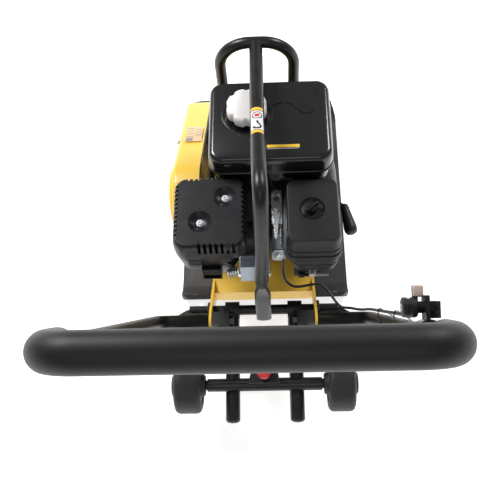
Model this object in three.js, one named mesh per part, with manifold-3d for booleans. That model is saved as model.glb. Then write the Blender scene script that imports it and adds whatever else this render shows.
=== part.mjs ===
// A walk-behind plate compactor with a small four-stroke engine.
// Millimetres, +Z up. The origin is on the ground under the middle of the base plate,
// +Y is the direction of travel and +X is the operator's right-hand side.
import * as THREE from "three";
import { mergeVertices } from "three/addons/utils/BufferGeometryUtils.js";
import Module from "manifold-3d";

const wasm = await Module();
wasm.setup();

// ---------------------------------------------------------------- driving dimensions
const GAP = 0.3; // clearance between pieces that touch
const ROUND = 24; // sides of a visible round piece
const SMALL_ROUND = 12; // sides of a small round piece

const PLATE = {
  half: 184, front: 262, rear: -273, thick: 10, corner: 25, frontCorner: 42, frontRise: 62, rearRise: 62,
};
const PLATE_HOLE = { x: 155, y: -252, radius: 6 };
const DECK = { inner: 100, outer: 105, front: 78, rear: -287, top: 130, thick: 4, skirt: 90 };
const PIVOT = { y: -372, z: 182, radius: 15 }; // handle hinge axis, along X
const BEAM = { y: -338, z: 150, radius: 10, half: 148 }; // rear cross beam, along X
const BEAM_END = [[106, -333], [137, -333], [154, -339], [171, -349], [184, -358], [184, -384], [106, -384]];
const CRANK = { y: -120, z: 236 }; // crankshaft axis, along X
const EXCITER = { y: 140, z: 92 }; // eccentric shaft axis, along X
const BELT = { x: -140, width: 10, thick: 8, drive: 40, driven: 35 };
const GUARD = { inner: -118, outer: -172, bulge: -181, bulgeRadius: 62, drive: 74, driven: 70, wall: 2.5 };
const CYLINDER_TILT = THREE.MathUtils.degToRad(21); // cylinder above the horizontal, pointing back
const HEAD = { x: -12, half: 29, start: 62, head: 132, cover: 182, end: 214 };
const ARCH = { y: 66, top: 474, half: 71, corner: 60, radius: 11 };
const LIFT_BAR = { radius: 12.5 };
const HANDLE = { half: 206, y: -652, z: 839, radius: 12.5, wall: 2, grip: 22.5, corner: 42 };
const THROTTLE = { z: 690, reach: 33 }; // height of the control, and its pivot ahead of the leg
const CABLE_RADIUS = 2.5;
const AXLE = { y: -487, z: 137, radius: 12.5, pin: 9.7 };
const LOCK_Y = -475; // lock knob, on the centreline
const WHEEL = { radius: 53, rim: 37, hubRadius: 20, x: 146, tyre: 25.5, hub: 32 };
const TANK = { x: 23, y: -84, halfX: 114, halfY: 92, seam: 400, top: 440, bottom: 346 };
const CAP = { x: -18, y: -71, radius: 37 };
const MUFFLER = { x0: -153, x1: -22, y0: -320, y1: -174, z0: 290, z1: 395 };
const FILTER = { x0: 43, x1: 148, y0: -318, y1: -179, z0: 315, z1: 395 };
const FILTER_KNOB = { x: 94, y: -247 };
const GOVERNOR = { x: 30, y: -214 }; // vertical pivot of the governor lever
const STARTER_GRIP = { x: 165, y: -219, z: 301, turn: 11, dip: 4 };
const MOUNTS = { x: 78, front: 50, rear: -232, foot: 78 };

// ---------------------------------------------------------------- colours
const paint = (color, roughness, metalness = 0) =>
  new THREE.MeshStandardMaterial({ color, roughness, metalness });
const YELLOW = paint(0xf0b41e, 0.45);
const BLACK_STEEL = paint(0x17181a, 0.45, 0.2);
const CAST_GREY = paint(0x4a4a4c, 0.6, 0.3);
const BLACK_PLASTIC = paint(0x1c1c1e, 0.6);
const GLOSS_BLACK = paint(0x0b0b0c, 0.18);
const ALUMINIUM = paint(0xb4b8bc, 0.4, 0.9);
const ZINC = paint(0xc8ccd0, 0.3, 1);
const RUBBER = paint(0x1e1e20, 0.9);
const FOAM = paint(0x2d2d2f, 0.95);
const WHITE_PLASTIC = paint(0xe6e8ea, 0.35);
const RED_PLASTIC = paint(0xc8202a, 0.4);
const FILTER_FOAM = paint(0x6b6250, 0.95);

// ---------------------------------------------------------------- solid helpers
function toSolid(geometry) {
  const flat = geometry.clone();
  flat.deleteAttribute("normal");
  flat.deleteAttribute("uv");
  const merged = mergeVertices(flat, 1e-4);
  const vertProperties = new Float32Array(merged.attributes.position.array);
  const triVerts = new Uint32Array(merged.index.array);
  return new wasm.Manifold(new wasm.Mesh({ numProp: 3, vertProperties, triVerts }));
}

function toGeometry(solid) {
  const mesh = solid.getMesh();
  const geometry = new THREE.BufferGeometry();
  geometry.setAttribute("position", new THREE.BufferAttribute(new Float32Array(mesh.vertProperties), 3));
  geometry.setIndex(new THREE.BufferAttribute(new Uint32Array(mesh.triVerts), 1));
  return geometry;
}

function join(...parts) {
  return toGeometry(parts.map(toSolid).reduce((whole, part) => whole.add(part)));
}

function cut(body, ...tools) {
  return toGeometry(tools.map(toSolid).reduce((whole, tool) => whole.subtract(tool), toSolid(body)));
}

function common(a, b) {
  return toGeometry(toSolid(a).intersect(toSolid(b)));
}

const AXES = { x: new THREE.Vector3(1, 0, 0), y: new THREE.Vector3(0, 1, 0), z: new THREE.Vector3(0, 0, 1) };

// Box between two corners.
function block(x0, x1, y0, y1, z0, z1) {
  const box = new THREE.BoxGeometry(x1 - x0, y1 - y0, z1 - z0);
  return box.translate((x0 + x1) / 2, (y0 + y1) / 2, (z0 + z1) / 2);
}

// Cylinder, or cone, between two points.
function rod(from, to, radius, sides = SMALL_ROUND, endRadius = radius) {
  const a = new THREE.Vector3(...from);
  const b = new THREE.Vector3(...to);
  const shape = new THREE.CylinderGeometry(endRadius, radius, a.distanceTo(b), sides);
  const turn = new THREE.Quaternion().setFromUnitVectors(AXES.y, b.clone().sub(a).normalize());
  const middle = a.add(b).multiplyScalar(0.5);
  return shape.applyQuaternion(turn).translate(middle.x, middle.y, middle.z);
}

// Cylinder along X, with its axis at (y, z).
function barrel(x0, x1, y, z, radius, sides = ROUND) {
  return rod([x0, y, z], [x1, y, z], radius, sides);
}

// A profile of [radius, x] points turned about an axis along X at (y, z).
function turned(profile, y, z, sides = ROUND) {
  const points = profile.map(([radius, x]) => new THREE.Vector2(radius, x));
  const lathe = new THREE.LatheGeometry(points, sides);
  return lathe.rotateZ(-Math.PI / 2).translate(0, y, z);
}

// A profile of [radius, z] points turned about a vertical axis at (x, y).
function turnedUp(profile, x, y, sides = ROUND) {
  const points = profile.map(([radius, z]) => new THREE.Vector2(radius, z));
  return new THREE.LatheGeometry(points, sides).rotateX(Math.PI / 2).translate(x, y, 0);
}

// Extrudes a shape that is drawn in (y, z) along X.
function alongX(shape, x0, x1, curveSegments = 4) {
  const solid = new THREE.ExtrudeGeometry(shape, { depth: x1 - x0, bevelEnabled: false, curveSegments });
  const place = new THREE.Matrix4().set(0, 0, 1, x0, 1, 0, 0, 0, 0, 1, 0, 0, 0, 0, 0, 1);
  return solid.applyMatrix4(place);
}

// Extrudes a shape that is drawn in (x, y) upwards.
function upwards(shape, z0, z1, curveSegments = 2) {
  const solid = new THREE.ExtrudeGeometry(shape, { depth: z1 - z0, bevelEnabled: false, curveSegments });
  return solid.translate(0, 0, z0);
}

function roundedRect(x0, x1, y0, y1, radius) {
  const shape = new THREE.Shape();
  shape.moveTo(x0 + radius, y0);
  shape.lineTo(x1 - radius, y0);
  shape.absarc(x1 - radius, y0 + radius, radius, -Math.PI / 2, 0);
  shape.lineTo(x1, y1 - radius);
  shape.absarc(x1 - radius, y1 - radius, radius, 0, Math.PI / 2);
  shape.lineTo(x0 + radius, y1);
  shape.absarc(x0 + radius, y1 - radius, radius, Math.PI / 2, Math.PI);
  shape.lineTo(x0, y0 + radius);
  shape.absarc(x0 + radius, y0 + radius, radius, Math.PI, 1.5 * Math.PI);
  return shape;
}

function polygon(points) {
  return new THREE.Shape(points.map(([a, b]) => new THREE.Vector2(a, b)));
}

// A path of straight runs whose corners are circular arcs; radii gives each inner corner's radius.
class BentPath extends THREE.Curve {
  constructor(points, radii, arcSteps) {
    super();
    this.points = [];
    this.tangents = [];
    const nodes = points.map((point) => new THREE.Vector3(...point));
    const heading = (i) => nodes[i + 1].clone().sub(nodes[i]).normalize();
    this.addRing(nodes[0], heading(0));
    radii.forEach((radius, index) => {
      const before = heading(index);
      const after = heading(index + 1);
      const sweep = before.angleTo(after);
      const start = nodes[index + 1].clone().addScaledVector(before, -radius * Math.tan(sweep / 2));
      const hinge = before.clone().cross(after).normalize();
      const inward = hinge.clone().cross(before);
      const centre = start.clone().addScaledVector(inward, radius);
      for (let step = 0; step <= arcSteps; step += 1) {
        const angle = (sweep * step) / arcSteps;
        const spoke = inward.clone().multiplyScalar(-radius).applyAxisAngle(hinge, angle);
        this.addRing(centre.clone().add(spoke), before.clone().applyAxisAngle(hinge, angle));
      }
    });
    this.addRing(nodes[nodes.length - 1], heading(nodes.length - 2));
    this.steps = this.points.length - 1;
  }

  addRing(point, tangent) {
    this.points.push(point);
    this.tangents.push(tangent);
  }

  getPointAt(u) {
    return this.points[Math.round(u * this.steps)].clone();
  }

  getTangentAt(u) {
    return this.tangents[Math.round(u * this.steps)].clone();
  }
}

// Round tube along a curve.
function tube(curve, radius, sides = SMALL_ROUND, steps = curve.steps) {
  const section = new THREE.Shape();
  section.absarc(0, 0, radius, 0, 2 * Math.PI);
  const options = { steps, extrudePath: curve, curveSegments: sides / 2, bevelEnabled: false };
  return new THREE.ExtrudeGeometry(section, options);
}

// Outline round two circles, drawn in (y, z): the hull of a belt drive.
function beltOutline(first, firstRadius, second, secondRadius) {
  const dy = second.y - first.y;
  const dz = second.z - first.z;
  const reach = Math.hypot(dy, dz);
  const heading = Math.atan2(dz, dy);
  const lean = Math.acos((firstRadius - secondRadius) / reach);
  const shape = new THREE.Shape();
  shape.absarc(second.y, second.z, secondRadius, heading - lean, heading + lean);
  shape.absarc(first.y, first.z, firstRadius, heading + lean, heading - lean + 2 * Math.PI);
  shape.closePath();
  return shape;
}

const mirror = (side, ...xs) => (side > 0 ? xs : xs.map((x) => -x).reverse());

const group = new THREE.Group();
function add(name, geometry, material) {
  const mesh = new THREE.Mesh(geometry, material);
  mesh.name = name;
  group.add(mesh);
  return mesh;
}

const SIDES = [["left", -1], ["right", 1]];

// ---------------------------------------------------------------- base plate and exciter
function basePlate() {
  const { half, front, rear, thick, corner, frontCorner, frontRise, rearRise } = PLATE;
  const profile = new THREE.Shape();
  profile.moveTo(rear + 58, 0);
  profile.lineTo(front - 56, 0);
  profile.quadraticCurveTo(front - 20, 0, front, frontRise - 5);
  profile.lineTo(front - 9, frontRise);
  profile.quadraticCurveTo(front - 27, thick, front - 60, thick);
  profile.lineTo(rear + 62, thick);
  profile.quadraticCurveTo(rear + 22, thick, rear + 7, rearRise);
  profile.lineTo(rear, rearRise - 7);
  profile.quadraticCurveTo(rear + 16, 0, rear + 58, 0);
  const sheet = alongX(profile, -half, half, 6);
  const outline = common(
    upwards(roundedRect(-half, half, rear, front + 80, corner), -1, 80, 3),
    upwards(roundedRect(-half, half, rear - 80, front, frontCorner), -1, 80, 3),
  );
  const posts = [];
  for (const x of [-MOUNTS.x, MOUNTS.x]) {
    for (const y of [MOUNTS.front, MOUNTS.rear]) {
      posts.push(rod([x, y, thick - 2], [x, y, MOUNTS.foot], 22, SMALL_ROUND, 18));
    }
  }
  const pad = block(-105, 105, 84, 190, thick - 2, 22);
  const ribs = [-1, 1].map((side) => block(...mirror(side, 106, 112), -190, 178, thick - 2, 26));
  const { x: holeX, y: holeY, radius } = PLATE_HOLE;
  const holes = [-1, 1].map((side) => rod([side * holeX, holeY, -5], [side * holeX, holeY, 60], radius));
  return cut(join(common(sheet, outline), ...posts, pad, ...ribs), ...holes);
}
add("base_plate", basePlate(), CAST_GREY);

function exciterHousing() {
  const { y, z } = EXCITER;
  const shell = join(barrel(-92, 92, y, z, 46), block(-92, 92, y - 45, y + 45, 22 + GAP, 60));
  return cut(shell, barrel(-95, 95, y, z, 36));
}
add("exciter_housing", exciterHousing(), CAST_GREY);

for (const [name, side] of SIDES) {
  const [c0, c1] = mirror(side, 92 + GAP, 100);
  const boreRadius = side < 0 ? 13 : 12 + GAP;
  const disc = barrel(c0, c1, EXCITER.y, EXCITER.z, 46);
  add(`exciter_cover_${name}`, cut(disc, barrel(-101, 101, EXCITER.y, EXCITER.z, boreRadius)), CAST_GREY);
  const [b0, b1] = mirror(side, 76, 91);
  const ring = [[12 + GAP, b0], [36 - GAP, b0], [36 - GAP, b1], [12 + GAP, b1], [12 + GAP, b0]];
  add(`exciter_bearing_${name}`, turned(ring, EXCITER.y, EXCITER.z), ZINC);
}

function exciterShaft() {
  const shaft = barrel(-156, 99, EXCITER.y, EXCITER.z, 12, SMALL_ROUND);
  const half = common(
    barrel(-68, 68, EXCITER.y, EXCITER.z, 31),
    block(-70, 70, EXCITER.y - 40, EXCITER.y + 40, EXCITER.z - 40, EXCITER.z - 2),
  );
  return join(shaft, half);
}
add("exciter_shaft", exciterShaft(), ZINC);

// Grooved pulley on the belt's centreline.
function pulley(bore, root, rim, y, z) {
  const half = 12;
  const groove = BELT.width / 2 + 0.5;
  const x = BELT.x;
  const profile = [
    [bore, x - half], [rim, x - half], [rim, x - groove], [root, x - groove],
    [root, x + groove], [rim, x + groove], [rim, x + half], [bore, x + half], [bore, x - half],
  ];
  return turned(profile, y, z);
}
add("exciter_pulley", pulley(12 + GAP, BELT.driven - 0.5, 41, EXCITER.y, EXCITER.z), ZINC);

function vBelt() {
  const shape = beltOutline(CRANK, BELT.drive + BELT.thick, EXCITER, BELT.driven + BELT.thick);
  shape.holes.push(new THREE.Path(beltOutline(CRANK, BELT.drive, EXCITER, BELT.driven).getPoints(7)));
  return alongX(shape, BELT.x - BELT.width / 2, BELT.x + BELT.width / 2, 7);
}
add("v_belt", vBelt(), RUBBER);

for (const [name, side] of SIDES) {
  for (const [end, y] of [["front", MOUNTS.front], ["rear", MOUNTS.rear]]) {
    const z0 = MOUNTS.foot + GAP;
    const z1 = DECK.top - DECK.thick - GAP;
    const profile = [[0, z0], [21, z0], [21, z0 + 4], [17, (z0 + z1) / 2], [21, z1 - 4], [21, z1], [0, z1]];
    add(`rubber_mount_${end}_${name}`, turnedUp(profile, side * MOUNTS.x, y, SMALL_ROUND), RUBBER);
  }
}

// ---------------------------------------------------------------- deck, arch, bar and beam
function engineDeck() {
  const { inner, outer, front, rear, top, thick, skirt } = DECK;
  const side = new THREE.Shape();
  side.moveTo(front, skirt);
  side.lineTo(front, top);
  side.lineTo(-262, top);
  side.lineTo(PIVOT.y + 14, PIVOT.z + PIVOT.radius - 4);
  side.absarc(PIVOT.y, PIVOT.z, PIVOT.radius, Math.PI * 0.3, Math.PI * 1.2);
  side.lineTo(BEAM.y - 12, BEAM.z - 22);
  side.lineTo(rear - 4, skirt + 6);
  side.lineTo(rear + 20, skirt);
  const plates = [-1, 1].map((s) => alongX(side, ...mirror(s, inner, outer)));
  const panel = block(-inner - 1, inner + 1, rear, front, top - thick, top);
  const rearLip = block(-inner - 1, inner + 1, rear - thick, rear, top - 40, top);
  const frontLip = block(-inner - 1, inner + 1, front - thick, front, skirt, top);
  const beamHole = barrel(-120, 120, BEAM.y, BEAM.z, BEAM.radius + GAP);
  const pivotHole = barrel(-120, 120, PIVOT.y, PIVOT.z, 6 + GAP, SMALL_ROUND);
  return cut(join(...plates, panel, rearLip, frontLip), beamHole, pivotHole);
}
add("engine_deck", engineDeck(), YELLOW);

function liftArch() {
  const foot = DECK.top + GAP;
  const { half, y, top, corner, radius } = ARCH;
  const line = new BentPath(
    [[-half, y, foot], [-half, y, top], [half, y, top], [half, y, foot]],
    [corner, corner],
    7,
  );
  const feet = [-1, 1].map((side) => block(...mirror(side, 56, 92), y - 22, y + 9, foot, foot + 5));
  return join(tube(line, radius), ...feet);
}
add("lift_arch", liftArch(), BLACK_STEEL);

function liftBar() {
  const start = ARCH.y - ARCH.radius - GAP;
  const line = new THREE.CatmullRomCurve3(
    [
      [0, start, 475], [1, -40, 484], [2, -130, 500], [4, -215, 529], [6, -276, 548],
      [7, -305, 541], [7, -322, 505], [5, -339, 420], [2, -350, 340], [1, -352, 322],
    ].map((point) => new THREE.Vector3(...point)),
  );
  const neck = new THREE.BoxGeometry(25, 20, 46);
  const place = neck.attributes.position;
  for (let i = 0; i < place.count; i += 1) {
    if (place.getZ(i) < 0) {
      place.setX(i, place.getX(i) * 1.2);
      place.setY(i, Math.sign(place.getY(i)) * 4);
    }
  }
  neck.translate(0, -354.5, 303);
  const tongue = block(-15, 15, -358.5, -350.5, 138, 282);
  return join(tube(line, LIFT_BAR.radius, SMALL_ROUND, 22), neck, tongue);
}
add("lift_bar", liftBar(), BLACK_STEEL);

// Cross beam with the stay that holds the wheel frame's lock knob.
function crossBeam() {
  const straps = [-1, 1].map((side) => block(...mirror(side, 79, 89), -449, BEAM.y, 157, 162));
  const bridge = block(-89, 89, -449, -427, 157, 162);
  const tongue = upwards(polygon([[-20, -440], [-30, LOCK_Y - 16], [30, LOCK_Y - 16], [20, -440]]), 157, 162);
  const beam = barrel(-BEAM.half, BEAM.half, BEAM.y, BEAM.z, BEAM.radius);
  const ends = [-1, 1].map((side) => upwards(polygon(BEAM_END.map(([x, y]) => [side * x, y])), 151, 157));
  const knobHole = rod([0, LOCK_Y, 150], [0, LOCK_Y, 170], 4 + GAP);
  return cut(join(beam, ...straps, ...ends, bridge, tongue), knobHole);
}
add("cross_beam", crossBeam(), BLACK_STEEL);

// ---------------------------------------------------------------- belt guard
function beltGuard() {
  const { inner, outer, bulge, bulgeRadius, drive, driven, wall } = GUARD;
  const body = join(
    alongX(beltOutline(CRANK, drive, EXCITER, driven), outer, inner, 14),
    rod([outer + 1, CRANK.y, CRANK.z], [bulge, CRANK.y, CRANK.z], bulgeRadius, ROUND, bulgeRadius - 8),
  );
  const inside = beltOutline(CRANK, drive - wall, EXCITER, driven - wall);
  return cut(body, alongX(inside, outer + wall, inner + 1, 14));
}
add("belt_guard", beltGuard(), YELLOW);

function guardBack() {
  const x1 = GUARD.inner + GAP + 3;
  const sheet = alongX(beltOutline(CRANK, GUARD.drive, EXCITER, GUARD.driven), GUARD.inner + GAP, x1, 7);
  const tabs = [-30, 40].map((y) => block(x1 - 1, -DECK.outer - GAP, y, y + 20, 100, 126));
  const holes = [barrel(-120, -110, CRANK.y, CRANK.z, 16), barrel(-120, -110, EXCITER.y, EXCITER.z, 24)];
  return cut(join(sheet, ...tabs), ...holes);
}
add("belt_guard_back", guardBack(), BLACK_STEEL);

// ---------------------------------------------------------------- engine
// Point at a distance along the cylinder from the crank axis, and above its centreline.
function onCylinder(along, above) {
  return [
    CRANK.y - Math.cos(CYLINDER_TILT) * along + Math.sin(CYLINDER_TILT) * above,
    CRANK.z + Math.sin(CYLINDER_TILT) * along + Math.cos(CYLINDER_TILT) * above,
  ];
}

// Box set along the tilted cylinder.
function cylinderBlock(x0, x1, from, to, below, above) {
  const corners = [[from, below], [to, below], [to, above], [from, above]];
  return alongX(polygon(corners.map(([along, height]) => onCylinder(along, height))), x0, x1);
}

function crankcase() {
  const low = onCylinder(HEAD.start - GAP, -40);
  const high = onCylinder(HEAD.start - GAP, 40);
  const side = polygon([[-55, 136], [-188, 136], [-192, 200], low, high, [-78, 292], [-55, 268]]);
  const base = block(-75, 62, -196, -44, DECK.top + GAP, 141);
  return cut(join(alongX(side, -88, 62), base), barrel(-90, 70, CRANK.y, CRANK.z, 12 + GAP));
}
add("crankcase", crankcase(), ALUMINIUM);

function cylinderHead() {
  const { x, half, start, head, cover } = HEAD;
  const parts = [cylinderBlock(x - half + 4, x + half - 4, start, head + 1, -36, 36)];
  for (let along = start + 7; along < head - 3; along += 9) {
    parts.push(cylinderBlock(x - half - 4, x + half + 4, along, along + 3.5, -42, 42));
  }
  parts.push(cylinderBlock(x - half, x + half, head, cover, -40, 40));
  return join(...parts);
}
add("cylinder_head", cylinderHead(), ALUMINIUM);

function valveCover() {
  const { x, half, cover, end } = HEAD;
  return join(
    cylinderBlock(x - half + 1, x + half - 1, cover + GAP, cover + 6, -38, 4),
    cylinderBlock(x - half + 4, x + half - 4, cover + 5, end, -35, 0),
  );
}
add("valve_cover", valveCover(), ALUMINIUM);

add("spark_plug_cap", join(
  rod([HEAD.x - HEAD.half - 8, -260, 267], [-54, -281, 262], 7),
  rod([-50, -274, 263], [-61, -291, 261], 9),
), RUBBER);

function crankshaft() {
  const profile = [[0, -166], [9.5, -166], [9.5, -112], [12, -112], [12, 66], [10, 66], [10, 108], [0, 108]];
  return turned(profile, CRANK.y, CRANK.z, SMALL_ROUND);
}
add("crankshaft", crankshaft(), ZINC);

add("clutch_pulley", pulley(9.5 + GAP, BELT.drive - 0.5, 45, CRANK.y, CRANK.z), ZINC);

function flywheel() {
  const bore = 10 + GAP;
  const profile = [[bore, 68], [82, 68], [82, 88], [55, 92], [30, 80], [bore, 80], [bore, 68]];
  return turned(profile, CRANK.y, CRANK.z);
}
add("flywheel", flywheel(), ALUMINIUM);

function fanShroud() {
  const drum = join(
    barrel(63, 112, CRANK.y, CRANK.z, 100),
    cylinderBlock(63, 92, 40, 92, -30, 36),
  );
  const hollow = barrel(66, 113, CRANK.y, CRANK.z, 97);
  return cut(drum, hollow, barrel(60, 70, CRANK.y, CRANK.z, 30));
}
add("fan_shroud", fanShroud(), BLACK_PLASTIC);

function recoilCover() {
  const outer = [[0, 147], [55, 147], [78, 137], [90, 121], [90, 112 + GAP], [93, 112 + GAP], [93, 122],
    [80, 140], [56, 150], [0, 150]];
  const guide = rod([134, -171, 285], [151, -182, 297], 10, SMALL_ROUND, 7);
  const post = barrel(128, 148, CRANK.y, CRANK.z, 8, SMALL_ROUND);
  const cup = join(turned(outer, CRANK.y, CRANK.z), post, guide);
  const slots = [];
  for (let turn = 0; turn < 10; turn += 1) {
    const slot = block(140, 155, 26, 48, -4, 4).rotateX((turn * Math.PI) / 5);
    slots.push(slot.translate(0, CRANK.y, CRANK.z));
  }
  return cut(cup, ...slots);
}
add("recoil_cover", recoilCover(), BLACK_PLASTIC);

function recoilReel() {
  const bore = 8 + GAP;
  const profile = [[bore, 129], [56, 129], [56, 131], [46, 132], [46, 136], [56, 137], [56, 139],
    [bore, 139], [bore, 129]];
  return turned(profile, CRANK.y, CRANK.z);
}
add("recoil_reel", recoilReel(), ALUMINIUM);

// Starter grip: a rounded drop whose long axis lies along the machine.
function starterGrip() {
  const half = new THREE.Shape();
  half.moveTo(-31, 0);
  half.absarc(-23, 0, 8, Math.PI, Math.PI / 2, true);
  half.lineTo(18, 12.5);
  half.absarc(18.5, 0, 12.5, Math.PI / 2, 0, true);
  half.lineTo(-31, 0);
  const outline = half.getPoints(5).map((point) => new THREE.Vector2(Math.max(point.y, 0), point.x));
  const body = new THREE.LatheGeometry(outline, SMALL_ROUND);
  const { x, y, z, turn, dip } = STARTER_GRIP;
  body.rotateX(THREE.MathUtils.degToRad(180 + dip)).rotateZ(THREE.MathUtils.degToRad(turn));
  return body.translate(x, y, z);
}
add("starter_grip", starterGrip(), BLACK_PLASTIC);

function fuelTank() {
  const { x, y, halfX, halfY, seam, top, bottom } = TANK;
  const rect = (inset, corner) => roundedRect(x - halfX + inset, x + halfX - inset,
    y - halfY + inset, y + halfY - inset, corner);
  const shell = join(
    upwards(rect(0, 26), seam - 2.5, seam + 2.5),
    upwards(rect(4, 23), seam, top - 9),
    upwards(rect(9, 20), seam, top - 3),
    upwards(rect(16, 16), seam, top),
    upwards(rect(6, 22), bottom + 14, seam),
    upwards(rect(16, 16), bottom, seam),
    turnedUp([[0, top - 5], [24, top - 5], [24, top + 6], [0, top + 6]], CAP.x, CAP.y),
  );
  const hollow = upwards(rect(19, 14), bottom + 3, top - 6);
  const filler = rod([CAP.x, CAP.y, top - 10], [CAP.x, CAP.y, top + 10], 20, ROUND);
  return cut(shell, hollow, filler);
}
add("fuel_tank", fuelTank(), GLOSS_BLACK);

function fuelCap() {
  const { radius } = CAP;
  const rim = [[0, 447], [radius, 447], [radius, 462], [radius - 5, 468], [0, 468]];
  const disc = turnedUp(rim, CAP.x, CAP.y, 32);
  const scallops = [];
  for (let turn = 0; turn < 8; turn += 1) {
    const angle = (turn * Math.PI) / 4;
    const at = [CAP.x + (radius + 7) * Math.cos(angle), CAP.y + (radius + 7) * Math.sin(angle)];
    scallops.push(rod([...at, 440], [...at, 475], 10));
  }
  return cut(disc, ...scallops);
}
add("fuel_cap", fuelCap(), WHITE_PLASTIC);

function mufflerBody() {
  const can = upwards(roundedRect(-130, -46, -304, -192, 18), 302, 386);
  const outlet = block(-108, -73, -320, -288, 266, 306);
  const mouth = block(-105, -76, -325, -291, 269, 283);
  const port = rod([-47, -262, 318], [HEAD.x - HEAD.half - GAP - 1, -262, 318], 12);
  return cut(join(can, outlet, port), mouth);
}
add("muffler_body", mufflerBody(), BLACK_STEEL);

function mufflerShield() {
  const { x0, x1, y0, y1, z0, z1 } = MUFFLER;
  const wall = 2;
  const outer = join(
    upwards(roundedRect(x0 + 11, x1 - 4, y0 + 8, y1 - 5, 14), z1 - 9, z1),
    upwards(roundedRect(x0 + 5, x1 - 2, y0 + 4, y1 - 2, 16), z1 - 15, z1 - 6),
    upwards(roundedRect(x0, x1, y0, y1, 18), z0 + 30, z1 - 13),
    upwards(roundedRect(x0 + 6, x1, y0 + 5, y1 - 4, 16), z0, z1 - 14),
  );
  const inner = upwards(roundedRect(x0 + 13, x1 - 6, y0 + 10, y1 - 7, 12), z0 - 5, z1 - wall);
  const headSide = block(-60, x1 + 5, y0 - 5, y1 + 5, z0 - 5, 352);
  const rearOpening = block(-110, -66, y0 - 5, y0 + 20, z0 - 5, 310);
  const slots = [];
  for (const x of [x0 + 13, x1 - 13]) {
    for (let y = y0 + 24; y < y1 - 20; y += 13) slots.push(block(x, x + 6, y, y + 5, z1 - 5, z1 + 1));
  }
  return cut(outer, inner, headSide, rearOpening, ...slots);
}
add("muffler_shield", mufflerShield(), BLACK_STEEL);

add("carburettor", join(
  block(22, 45 - GAP, -285, -242, 272, 314),
  rod([36, -263, 250], [36, -263, 273], 16, ROUND),
  rod([18, -263, 296], [24, -263, 296], 14),
), ALUMINIUM);

function airFilterBase() {
  const tray = join(
    upwards(roundedRect(55, 143, -314, -208, 16), 291, FILTER.z0 - GAP),
    upwards(roundedRect(60, 139, -307, -216, 14), 269, 292),
  );
  const duct = rod([45, -263, 296], [60, -263, 296], 7);
  const { x, y } = FILTER_KNOB;
  const stud = rod([x, y, 300], [x, y, 401], 3);
  return join(tray, duct, stud);
}
add("air_filter_base", airFilterBase(), BLACK_PLASTIC);

add("air_filter_element", cut(
  upwards(roundedRect(62, 134, -298, -202, 14), FILTER.z0 + GAP, 380),
  rod([FILTER_KNOB.x, FILTER_KNOB.y, 300], [FILTER_KNOB.x, FILTER_KNOB.y, 390], 22, ROUND),
), FILTER_FOAM);

function airFilterCover() {
  const { x0, x1, y0, y1, z0, z1 } = FILTER;
  const outer = join(
    upwards(roundedRect(x0, x1, y0, y1, 20), z0 + 4, z1 - 8),
    upwards(roundedRect(x0 + 4, x1 - 4, y0 + 4, y1 - 4, 17), z0, z1),
  );
  const inner = upwards(roundedRect(x0 + 8, x1 - 8, y0 + 8, y1 - 8, 14), z0 - 5, z1 - 4);
  const { x, y } = FILTER_KNOB;
  return cut(outer, inner, rod([x, y, 380], [x, y, 400], 3 + GAP));
}
add("air_filter_cover", airFilterCover(), BLACK_PLASTIC);

function airFilterKnob() {
  const { x, y } = FILTER_KNOB;
  const hub = rod([x, y, FILTER.z1 + GAP], [x, y, 403], 8, SMALL_ROUND, 6);
  const wing = block(-15, 15, -2, 2, 396.5, 407).rotateZ(THREE.MathUtils.degToRad(40)).translate(x, y, 0);
  return cut(join(hub, wing), rod([x, y, 390], [x, y, 402], 3 + GAP));
}
add("air_filter_knob", airFilterKnob(), BLACK_PLASTIC);

add("control_panel", block(62, 132, -299, -226, 226, 269 - GAP), BLACK_PLASTIC);

add("choke_lever", join(
  rod([96, -299 - GAP, 256], [96, -313, 256], 7),
  block(96, 126, -313, -310, 252, 259),
), ZINC);

add("fuel_valve_lever", join(
  rod([76, -299 - GAP, 238], [76, -306, 238], 7),
  block(76, 104, -306, -303, 235, 241),
), BLACK_PLASTIC);

add("engine_switch", join(
  rod([132 + GAP, -262, 248], [137, -262, 248], 11),
  block(136, 143, -264, -260, 239, 257),
), RED_PLASTIC);

function controlBracket() {
  const shelf = block(22, 41, -240, -172, 326, 329);
  const leg = block(22, 41, -175, -172, 296, 328);
  const foot = block(22, 41, -175, -150, 296, 299);
  const { x, y } = GOVERNOR;
  return cut(join(shelf, leg, foot), rod([x, y, 310], [x, y, 340], 3 + GAP));
}
add("control_bracket", controlBracket(), ZINC);

add("governor_lever", join(
  rod([GOVERNOR.x, GOVERNOR.y, 318], [GOVERNOR.x, GOVERNOR.y, 339], 3),
  rod([GOVERNOR.x, GOVERNOR.y, 329 + GAP], [GOVERNOR.x, GOVERNOR.y, 334], 7),
  upwards(polygon([[25, -214], [28, -272], [32, -272], [34, -214]]), 330, 333),
), ZINC);

add("oil_filler_cap", join(
  rod([44, -191.5 - GAP, 166], [44, -203, 166], 12),
  block(41, 47, -212, -202, 158, 174),
), BLACK_PLASTIC);

// ---------------------------------------------------------------- handle
const LEG_FOOT = [HANDLE.half, PIVOT.y, PIVOT.z];
const LEG_TOP = [HANDLE.half, HANDLE.y, HANDLE.z];
const legSide = (point, side) => [side * point[0], point[1], point[2]];

function handlePath(innerEnd) {
  return new BentPath([
    [-innerEnd, PIVOT.y, PIVOT.z], legSide(LEG_FOOT, -1), legSide(LEG_TOP, -1),
    LEG_TOP, LEG_FOOT, [innerEnd, PIVOT.y, PIVOT.z],
  ], [26, HANDLE.corner, HANDLE.corner, 26], 6);
}

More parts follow.
